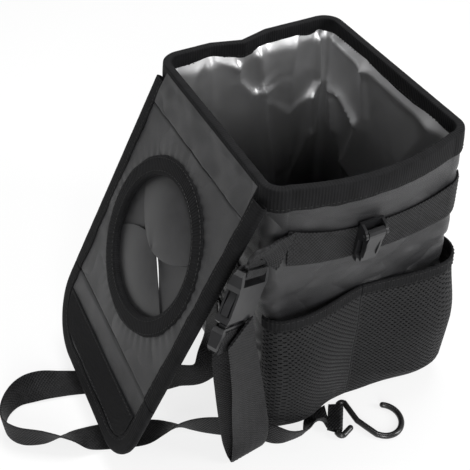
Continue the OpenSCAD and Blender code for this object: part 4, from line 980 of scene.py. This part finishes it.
def flapSide(u, radius, inset):
    # distance of the flap's side edge from its middle line
    half, end = lid["half"] - inset, lid["end"] - inset
    r = max(0.5, radius - inset)
    over = np.clip(u - (end - r), 0, r)
    return half - r + np.sqrt(np.maximum(0, r * r - over * over))


def makeFlap():
    end = lid["end"] - 1.3
    u = lid["flapU"] + 0.6 + (end - lid["flapU"] - 0.6) * np.sin(np.linspace(0, 1, 60) * math.pi / 2)
    t = np.linspace(0, 1, 120)
    low, high = -flapSide(u, lid["nearR"], 1.3), flapSide(u, lid["farR"], 1.3)
    v = low[:, None] + (high - low)[:, None] * t[None]
    uu = np.broadcast_to(u[:, None], v.shape)
    flat = np.stack([uu, v, 0 * v], -1)
    waves = 0.22 * softNoise(flat, 50, 61) + 0.1 * softNoise(flat, 18, 62)
    drop = roundedDrop(np.minimum((uu - lid["flapU"] - 0.6) / 1.6, 1), 0.9)
    inside = lidPoint(uu, v, lid["coverLow"] + waves + drop)
    outside = lidPoint(uu, v, lid["coverHigh"] + 0.6 * waves - drop)
    sheetPiece("flapCover", inside, outside, "shellCloth", "flap", "shell_fabric", np.stack([uu, v], -1),
               replaces=["flap_cover"], sharp=50)
    # the tape follows the outline: near side, near corner, end, far corner, far side
    half, endU, near, far = lid["half"], lid["end"], lid["nearR"], lid["farR"]
    start = lid["flapU"] + 0.4

    def corner(r, v, first, steps):
        angles = np.radians(np.linspace(first, first + 90, steps, endpoint=False))
        turns = [(math.cos(a), math.sin(a)) for a in angles]
        return [((endU - r + r * c, v + r * s), (-c, -s)) for c, s in turns]

    outline = [((x, -half), (0, 1)) for x in np.linspace(start, endU - near, 26, endpoint=False)]
    outline += corner(near, near - half, -90, 40)
    outline += [((endU, y), (-1, 0)) for y in np.linspace(near - half, half - far, 60, endpoint=False)]
    outline += corner(far, half - far, 0, 56)
    outline += [((x, half), (0, -1)) for x in np.linspace(endU - far, start, 12)]
    path, inward = zip(*outline)
    edgeTape("flapTape", path, inward, "flap", ["flap_tape"], seed=55)
    # hook tape: a low field of loops and hooks between the edge tapes
    inset = lid["tape"] + 0.9
    u = np.linspace(lid["hookU"], lid["hookU"] + lid["hookW"], 34)
    low, high = -flapSide(u, lid["nearR"], inset), flapSide(u, lid["farR"], inset)
    v = low[:, None] + (high - low)[:, None] * np.linspace(0, 1, 170)[None]
    uu = np.broadcast_to(u[:, None], v.shape)
    border = np.minimum(np.minimum(uu - u[0], u[-1] - uu), np.minimum(v - low[:, None], high[:, None] - v))
    field = 0.22 * np.cos(uu * 2 * math.pi / 1.8) * np.cos(v * 2 * math.pi / 2.0) * (border > 2)
    front = lidPoint(uu, v, -0.45 + 0.35 * np.exp(-border / 0.6) - field)
    sheetPiece("hookTape", front, lidPoint(uu, v, lid["coverLow"] + 0 * v), "hookTape", "flap", "hook_tape",
               np.stack([uu, v], -1), replaces=["hook_tape"], sharp=60)
    for index, (k, x) in enumerate(((0, u[0] + 1.3), (-1, u[-1] - 1.3))):
        lidStitches(f"hookTapeStitch{index}", x, np.linspace(low[k] + 2, high[k] - 2, 60), -0.5, -1, "flap")


makeFlap()


# rings of tape round the hole, turned about its middle
def turnedRing(name, profile, replaces, wobble, seed):
    count = 240
    angle = np.linspace(0, 2 * math.pi, count, endpoint=False)
    profile = np.array(profile)
    around = np.stack([60 * np.cos(angle), 60 * np.sin(angle), 0 * angle], 1)
    ripple = wobble * (0.7 * softNoise(around, 14, seed) + 0.5 * np.sin(angle * 84))
    outer = np.clip((profile[:, 0] - lid["holeR"]) / lid["holeTape"], 0, 1) ** 2
    r = profile[None, :, 0] + ripple[:, None] * outer[None]
    rings = lidPoint(lid["holeU"] + r * np.cos(angle)[:, None], r * np.sin(angle)[:, None],
                     profile[None, :, 1] + 0 * r)
    thread = gridPlaces(angle * 60, profile[:, 0])
    loftPiece(name, rings, "edgeTape", "lid", "edge_tape", thread, closed=True, replaces=replaces, sharp=60)


holeR, holeEnd = lid["holeR"], lid["holeR"] + lid["holeTape"]
turnedRing("holeBinding",
           [(holeEnd, 0.85), (holeEnd - 0.2, 0.1), (holeEnd - 1.2, -0.25), (holeEnd - 6, -0.5), (holeR + 4, -0.5),
            (holeR + 1.4, -0.3), (holeR + 0.4, 0.3), (holeR, 1.4), (holeR, 4.2), (holeR + 1, 4.2),
            (holeR + 1.1, 0.9), (holeR + 6, 0.9)],
           ["hole_binding"], 0.35, 71)
turnedRing("petalRing", [(holeR + 2, 7.2), (holeEnd - 1, 7.2), (holeEnd - 1, 4.4), (holeEnd, 4.4), (holeEnd, 7.9),
                         (holeEnd - 0.8, 8.3), (holeR + 6, 8.5), (holeR + 2.6, 8.3), (holeR + 2, 7.8)],
           ["petal_ring"], 0.2, 73)
ringAngle = np.linspace(0, 2 * math.pi, 200, endpoint=False)
for name, radius, w, way in (("holeStitch", holeEnd - 2.0, -0.45, -1), ("holeStitchInner", holeR + 3.4, -0.6, -1),
                             ("petalRingStitch", holeEnd - 2.4, 8.55, 1)):
    lidStitches(name, lid["holeU"] + radius * np.cos(ringAngle), radius * np.sin(ringAngle), w, way, "lid",
                closed=True)

# petals: leaves of rubber with their tips at the middle, two lying over the other two.
# axis is the way a leaf points; each side has its half angle at the rim and how round it is
petalLook = {"thick": 0.8, "outer": 66, "petals": [
    {"axis": 184, "low": (60, 0.55), "high": (57, 0.5), "level": 4.6, "dome": 2.4, "cup": 2.8, "tip": -3},
    {"axis": 272, "low": (52, 0.9), "high": (43, 1.5), "level": 5.8, "dome": 1.5, "cup": -1.6, "tip": 1},
    {"axis": 4, "low": (56, 0.95), "high": (62, 0.5), "level": 4.6, "dome": 1.8, "cup": 2.6, "tip": -3},
    {"axis": 95, "low": (56, 0.7), "high": (56, 0.7), "level": 5.8, "dome": 1.5, "cup": -1.6, "tip": 1}]}


def petalGrid(look, top):
    t = np.linspace(-1, 1, 61)[:, None]
    f = np.linspace(0.004, 1, 40)[None] ** 1.3
    half = np.where(t < 0, look["low"][0], look["high"][0])
    power = np.where(t < 0, look["low"][1], look["high"][1])
    rim = np.radians(half * t)
    endX, endY = petalLook["outer"] * np.cos(rim), petalLook["outer"] * np.sin(rim)
    x = look["tip"] + (endX - look["tip"]) * f
    y = endY * f ** (1 + (power - 1) * np.abs(t))
    r = np.hypot(x, y)
    angle = np.radians(look["axis"]) + np.arctan2(y, x)
    # the whole set is domed, and each leaf is cupped like a spoon between its tip and the tape
    part = np.minimum(1, r / holeR)
    w = look["level"] - look["dome"] * (1 - part ** 2) - look["cup"] * (1 - t ** 2) * 4 * part * (1 - part)
    w = w + (petalLook["thick"] if top else 0)
    return lidPoint(lid["holeU"] + r * np.cos(angle), r * np.sin(angle), w), np.stack([r, np.degrees(angle)], -1)


for k, look in enumerate(petalLook["petals"]):
    front, place = petalGrid(look, True)
    back, _ = petalGrid(look, False)
    sheetPiece(f"petal{k + 1}", front, back, "petalRubber", "lid", "petal_rubber", place, replaces=[f"petal_{k + 1}"],
               sharp=50)

# hinge cloth: sewn at the rim, made in place and not attached to the lid
hingeLook = {"from": -3.2, "bendEnd": 16, "half": 74, "thick": 0.9}


def makeHinge():
    u = np.linspace(hingeLook["from"], lid["panelU"] - 0.2, 40)
    v = np.linspace(-hingeLook["half"], hingeLook["half"], 140)
    uu, vv = np.meshgrid(u, v, indexing="ij")
    flat = np.stack([uu, vv, 0 * vv], -1)
    waves = 0.35 * softNoise(flat * [1.6, 1, 1], 34, 81) + 0.15 * softNoise(flat, 12, 82)
    waves = waves * smoothStep((uu - hingeLook["from"]) / 6)
    front = lidPoint(uu, vv, waves + roundedDrop(np.minimum((lid["panelU"] - 0.2 - uu) / 1.5, 1), 0.7))
    back = lidPoint(uu, vv, hingeLook["thick"] + waves)
    piece = sheetPiece("hingeCloth", front, back, "shellCloth", None, "shell_fabric", np.stack([uu, vv], -1),
                       replaces=["hinge_cloth"], sharp=50)
    start, end = lidPoint(hingeLook["from"], 0, 0) * 0.001, lidPoint(hingeLook["bendEnd"], 0, 0) * 0.001
    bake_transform(piece)


makeHinge()
print("lid made")


# buckle: the moulded halves come from the frame; webbing turns round their bars
buckle = {"at": (-94, -103, 204.5), "turn": (3, 34, 32), "barZ": -2.6, "lockBarZ": -45.8, "barR": 2, "webT": 1.6,
          "webW": 30}
buckleTurn = turnMatrix(*buckle["turn"])


def buckleTurnPiece(name, z, leg, rise, replaces):
    r = buckle["barR"] + 0.3 + buckle["webT"] / 2
    route = [(0, r, z + rise * leg), (0, r, z + rise * leg / 2)]
    route += [(0, r * math.cos(a), z - rise * r * math.sin(a)) for a in np.linspace(0, math.pi, 9)]
    route += [(0, -r, z + rise * leg / 2), (0, -r, z + rise * leg)]
    strapAtFitting(name, buckle, buckleTurn, route, [1, 0, 0], buckle["webW"], buckle["webT"] - 0.1, replaces)


buckleTurnPiece("buckleLoop", buckle["barZ"], 4, 1, ["buckle_loop"])
buckleTurnPiece("strapTail", buckle["lockBarZ"], 12, -1, ["strap_tail"])

# hook: one bent rod, its strap end folded round the bar
hook = {"at": (-19, -114, 4.3), "angle": -33, "pitch": 1.98, "wireR": 2.5, "bowlR": 15, "bowlX": 37, "bowlY": 3.5,
        "eyeHalf": 13, "bendR": 3, "eyeTurn": 145, "tip": 100}
hookTurn = turnMatrix(0, hook["pitch"], hook["angle"])


def hookPath():
    turn = math.radians(hook["eyeTurn"])
    legX = hook["bendR"] - hook["bendR"] * math.cos(turn)
    legY = hook["eyeHalf"] + hook["bendR"] * math.sin(turn)

    def legAt(s, y):
        return (legX + (legY - y) * math.tan(math.pi - turn), s * y)

    def eyeBend(s, k):
        a = turn * k / 8
        return (hook["bendR"] - hook["bendR"] * math.cos(a), s * (hook["eyeHalf"] + hook["bendR"] * math.sin(a)))

    def bowlAt(a):
        return (hook["bowlX"] + hook["bowlR"] * math.cos(math.radians(a)),
                hook["bowlY"] + hook["bowlR"] * math.sin(math.radians(a)))

    path = [legAt(-1, 2 * hook["wireR"] + 1)] + [eyeBend(-1, k) for k in range(8, -1, -1)]
    path += [eyeBend(1, k) for k in range(9)]
    path += [legAt(1, 1), (legAt(1, 0)[0] + 1, legAt(1, 0)[1] - 0.6)]
    path += [bowlAt(-115 + (hook["tip"] + 115) * k / 24) for k in range(25)]
    return [(x, y, 0) for x, y in path]


def makeHook():
    line = evenly(splineThrough(hookPath(), 6), 0.8)[0]
    tangent = unitRows(np.gradient(line, axis=0))
    side = unitRows(np.cross(tangent, [0, 0, 1.0]))
    sides = 20
    angle = np.linspace(0, 2 * math.pi, sides, endpoint=False)
    radius = np.full(len(line), hook["wireR"])
    for k, f in enumerate((0.45, 0.8, 0.95)):
        radius[k] *= f
        radius[-1 - k] *= f
    ahead, up = np.cos(angle)[None, :, None] * side[:, None], np.sin(angle)[None, :, None] * np.array([0, 0, 1.0])
    rings = line[:, None] + radius[:, None, None] * (ahead + up)
    rings = np.array(hook["at"]) + rings @ hookTurn.T
    loftPiece("carHook", rings, "hookCoating", "hook", "hook_coating", thin=False, replaces=["s_hook"], sharp=60)


def makeHookLoop():
    r = hook["wireR"] + 0.15 + strapSizes["hookThick"] / 2
    route = [(-8.5, 0, 0.3), (-5, 0, 1.2)]
    route += [(-r * math.sin(a), 0, r * math.cos(a)) for a in np.linspace(-0.35, -2.8, 12)]
    route += [(-5, 0, -1.4), (-8.5, 0, -0.5)]
    strapAtFitting("hookStrapLoop", hook, hookTurn, route, [0, 1, 0], strapSizes["hookWidth"] - 0.4,
                   strapSizes["hookThick"] - 0.2, ["hook_strap_loop"])


makeHook()
makeHookLoop()
print("hook made")

# nodes that stay as the frame has them, with softened edges and their own finish
kept = {"buckle_female": ("bucklePlastic", "buckle_plastic", 0.7),
        "buckle_male": ("bucklePlastic", "buckle_plastic", 0.5),
        "clip_base": ("clipPlastic", "clip_plastic", 0.4), "clip_lever": ("clipPlastic", "clip_plastic", 0.4),
        "clip_pin": ("pinSteel", "pin_steel", 0.15), "base_board": ("board", "board", 0.3),
        "lid_board": ("board", "board", 0.3)}
for node, (material, slotName, bevel) in kept.items():
    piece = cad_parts[node]
    piece.data.materials.clear()
    piece.data.materials.append(materials[material])
    soft = piece.modifiers.new("softEdge", "BEVEL")
    soft.width, soft.segments, soft.limit_method, soft.angle_limit = bevel * 0.001, 2, "ANGLE", math.radians(35)
    soft.harden_normals = False

# stage and light
# worldFill lights the object; worldShine is the part of the white background that its shine picks up
stageLook = {"floorColour": (0.86, 0.86, 0.86), "worldFill": 0.3, "worldShine": 0.42, "floorGlow": 0.8}
lamps = [
    {"name": "topSoftbox", "at": (0.15, 0.25, 1.35), "to": (-0.03, 0, 0.12), "size": (0.7, 0.5), "power": 14.5},
    {"name": "frontSoftbox", "at": (-0.5, -1.4, 0.8), "to": (-0.05, 0, 0.12), "size": (0.5, 0.8), "power": 14},
    {"name": "rightSoftbox", "at": (0.95, -0.9, 0.75), "to": (0.0, 0, 0.12), "size": (0.4, 0.8), "power": 13},
]


def seenRay(tree):
    rays = addNode(tree, "ShaderNodeLightPath")
    glossy = mathNode(tree, "MAXIMUM", rays.outputs["Is Glossy Ray"], rays.outputs["Is Transmission Ray"])
    return mathNode(tree, "MAXIMUM", rays.outputs["Is Camera Ray"], glossy), rays.outputs["Is Camera Ray"]


def makeWorld():
    world = bpy.data.worlds.new("studio")
    bpy.context.scene.world = world
    world.use_nodes = True
    tree = world.node_tree
    tree.nodes.clear()
    seen, direct = seenRay(tree)
    shine = mathNode(tree, "MULTIPLY_ADD", direct, 1 - stageLook["worldShine"], stageLook["worldShine"])
    fill = addNode(tree, "ShaderNodeBackground", Strength=stageLook["worldFill"])
    white = addNode(tree, "ShaderNodeBackground")
    tree.links.new(shine, white.inputs["Strength"])
    mix, out = addNode(tree, "ShaderNodeMixShader"), addNode(tree, "ShaderNodeOutputWorld")
    for socket in (fill.inputs["Color"], white.inputs["Color"]):
        socket.default_value = (1, 1, 1, 1)
    tree.links.new(seen, mix.inputs[0])
    tree.links.new(fill.outputs[0], mix.inputs[1])
    tree.links.new(white.outputs[0], mix.inputs[2])
    tree.links.new(mix.outputs[0], out.inputs[0])


def makeFloor():
    n = 40
    span = 3.0
    points = [(-span + 2 * span * i / n, -span + 2 * span * j / n, -0.0003)
              for j in range(n + 1) for i in range(n + 1)]
    corners = [j * (n + 1) + i for j in range(n) for i in range(n)]
    faces = [[k, k + 1, k + n + 2, k + n + 1] for k in corners]
    mesh = bpy.data.meshes.new("floor")
    mesh.from_pydata(points, [], faces)
    floor = bpy.data.objects.new("floor", mesh)
    bpy.context.scene.collection.objects.link(floor)
    material, tree, shader = startMaterial("floorPaper", stageLook["floorColour"], 0.9, 0.1)
    glow = addNode(tree, "ShaderNodeEmission", Strength=1.0)
    mix = addNode(tree, "ShaderNodeMixShader")
    out = tree.nodes["Material Output"]
    tree.links.new(mathNode(tree, "MULTIPLY", seenRay(tree)[0], stageLook["floorGlow"]), mix.inputs[0])
    tree.links.new(shader.outputs[0], mix.inputs[1])
    tree.links.new(glow.outputs[0], mix.inputs[2])
    tree.links.new(mix.outputs[0], out.inputs[0])
    mesh.materials.append(material)


def makeLamps():
    for look in lamps:
        light = bpy.data.lights.new(look["name"], "AREA")
        light.shape, light.energy = "RECTANGLE", look["power"]
        light.size, light.size_y = look["size"]
        lamp = bpy.data.objects.new(look["name"], light)
        lamp.location = look["at"]
        lamp.rotation_mode = "QUATERNION"
        lamp.rotation_quaternion = (Vector(look["to"]) - Vector(look["at"])).to_track_quat("-Z", "Y")
        bpy.context.scene.collection.objects.link(lamp)


makeWorld()
makeFloor()
makeLamps()
bpy.context.scene.view_settings.view_transform = "Standard"
print("stage lit")
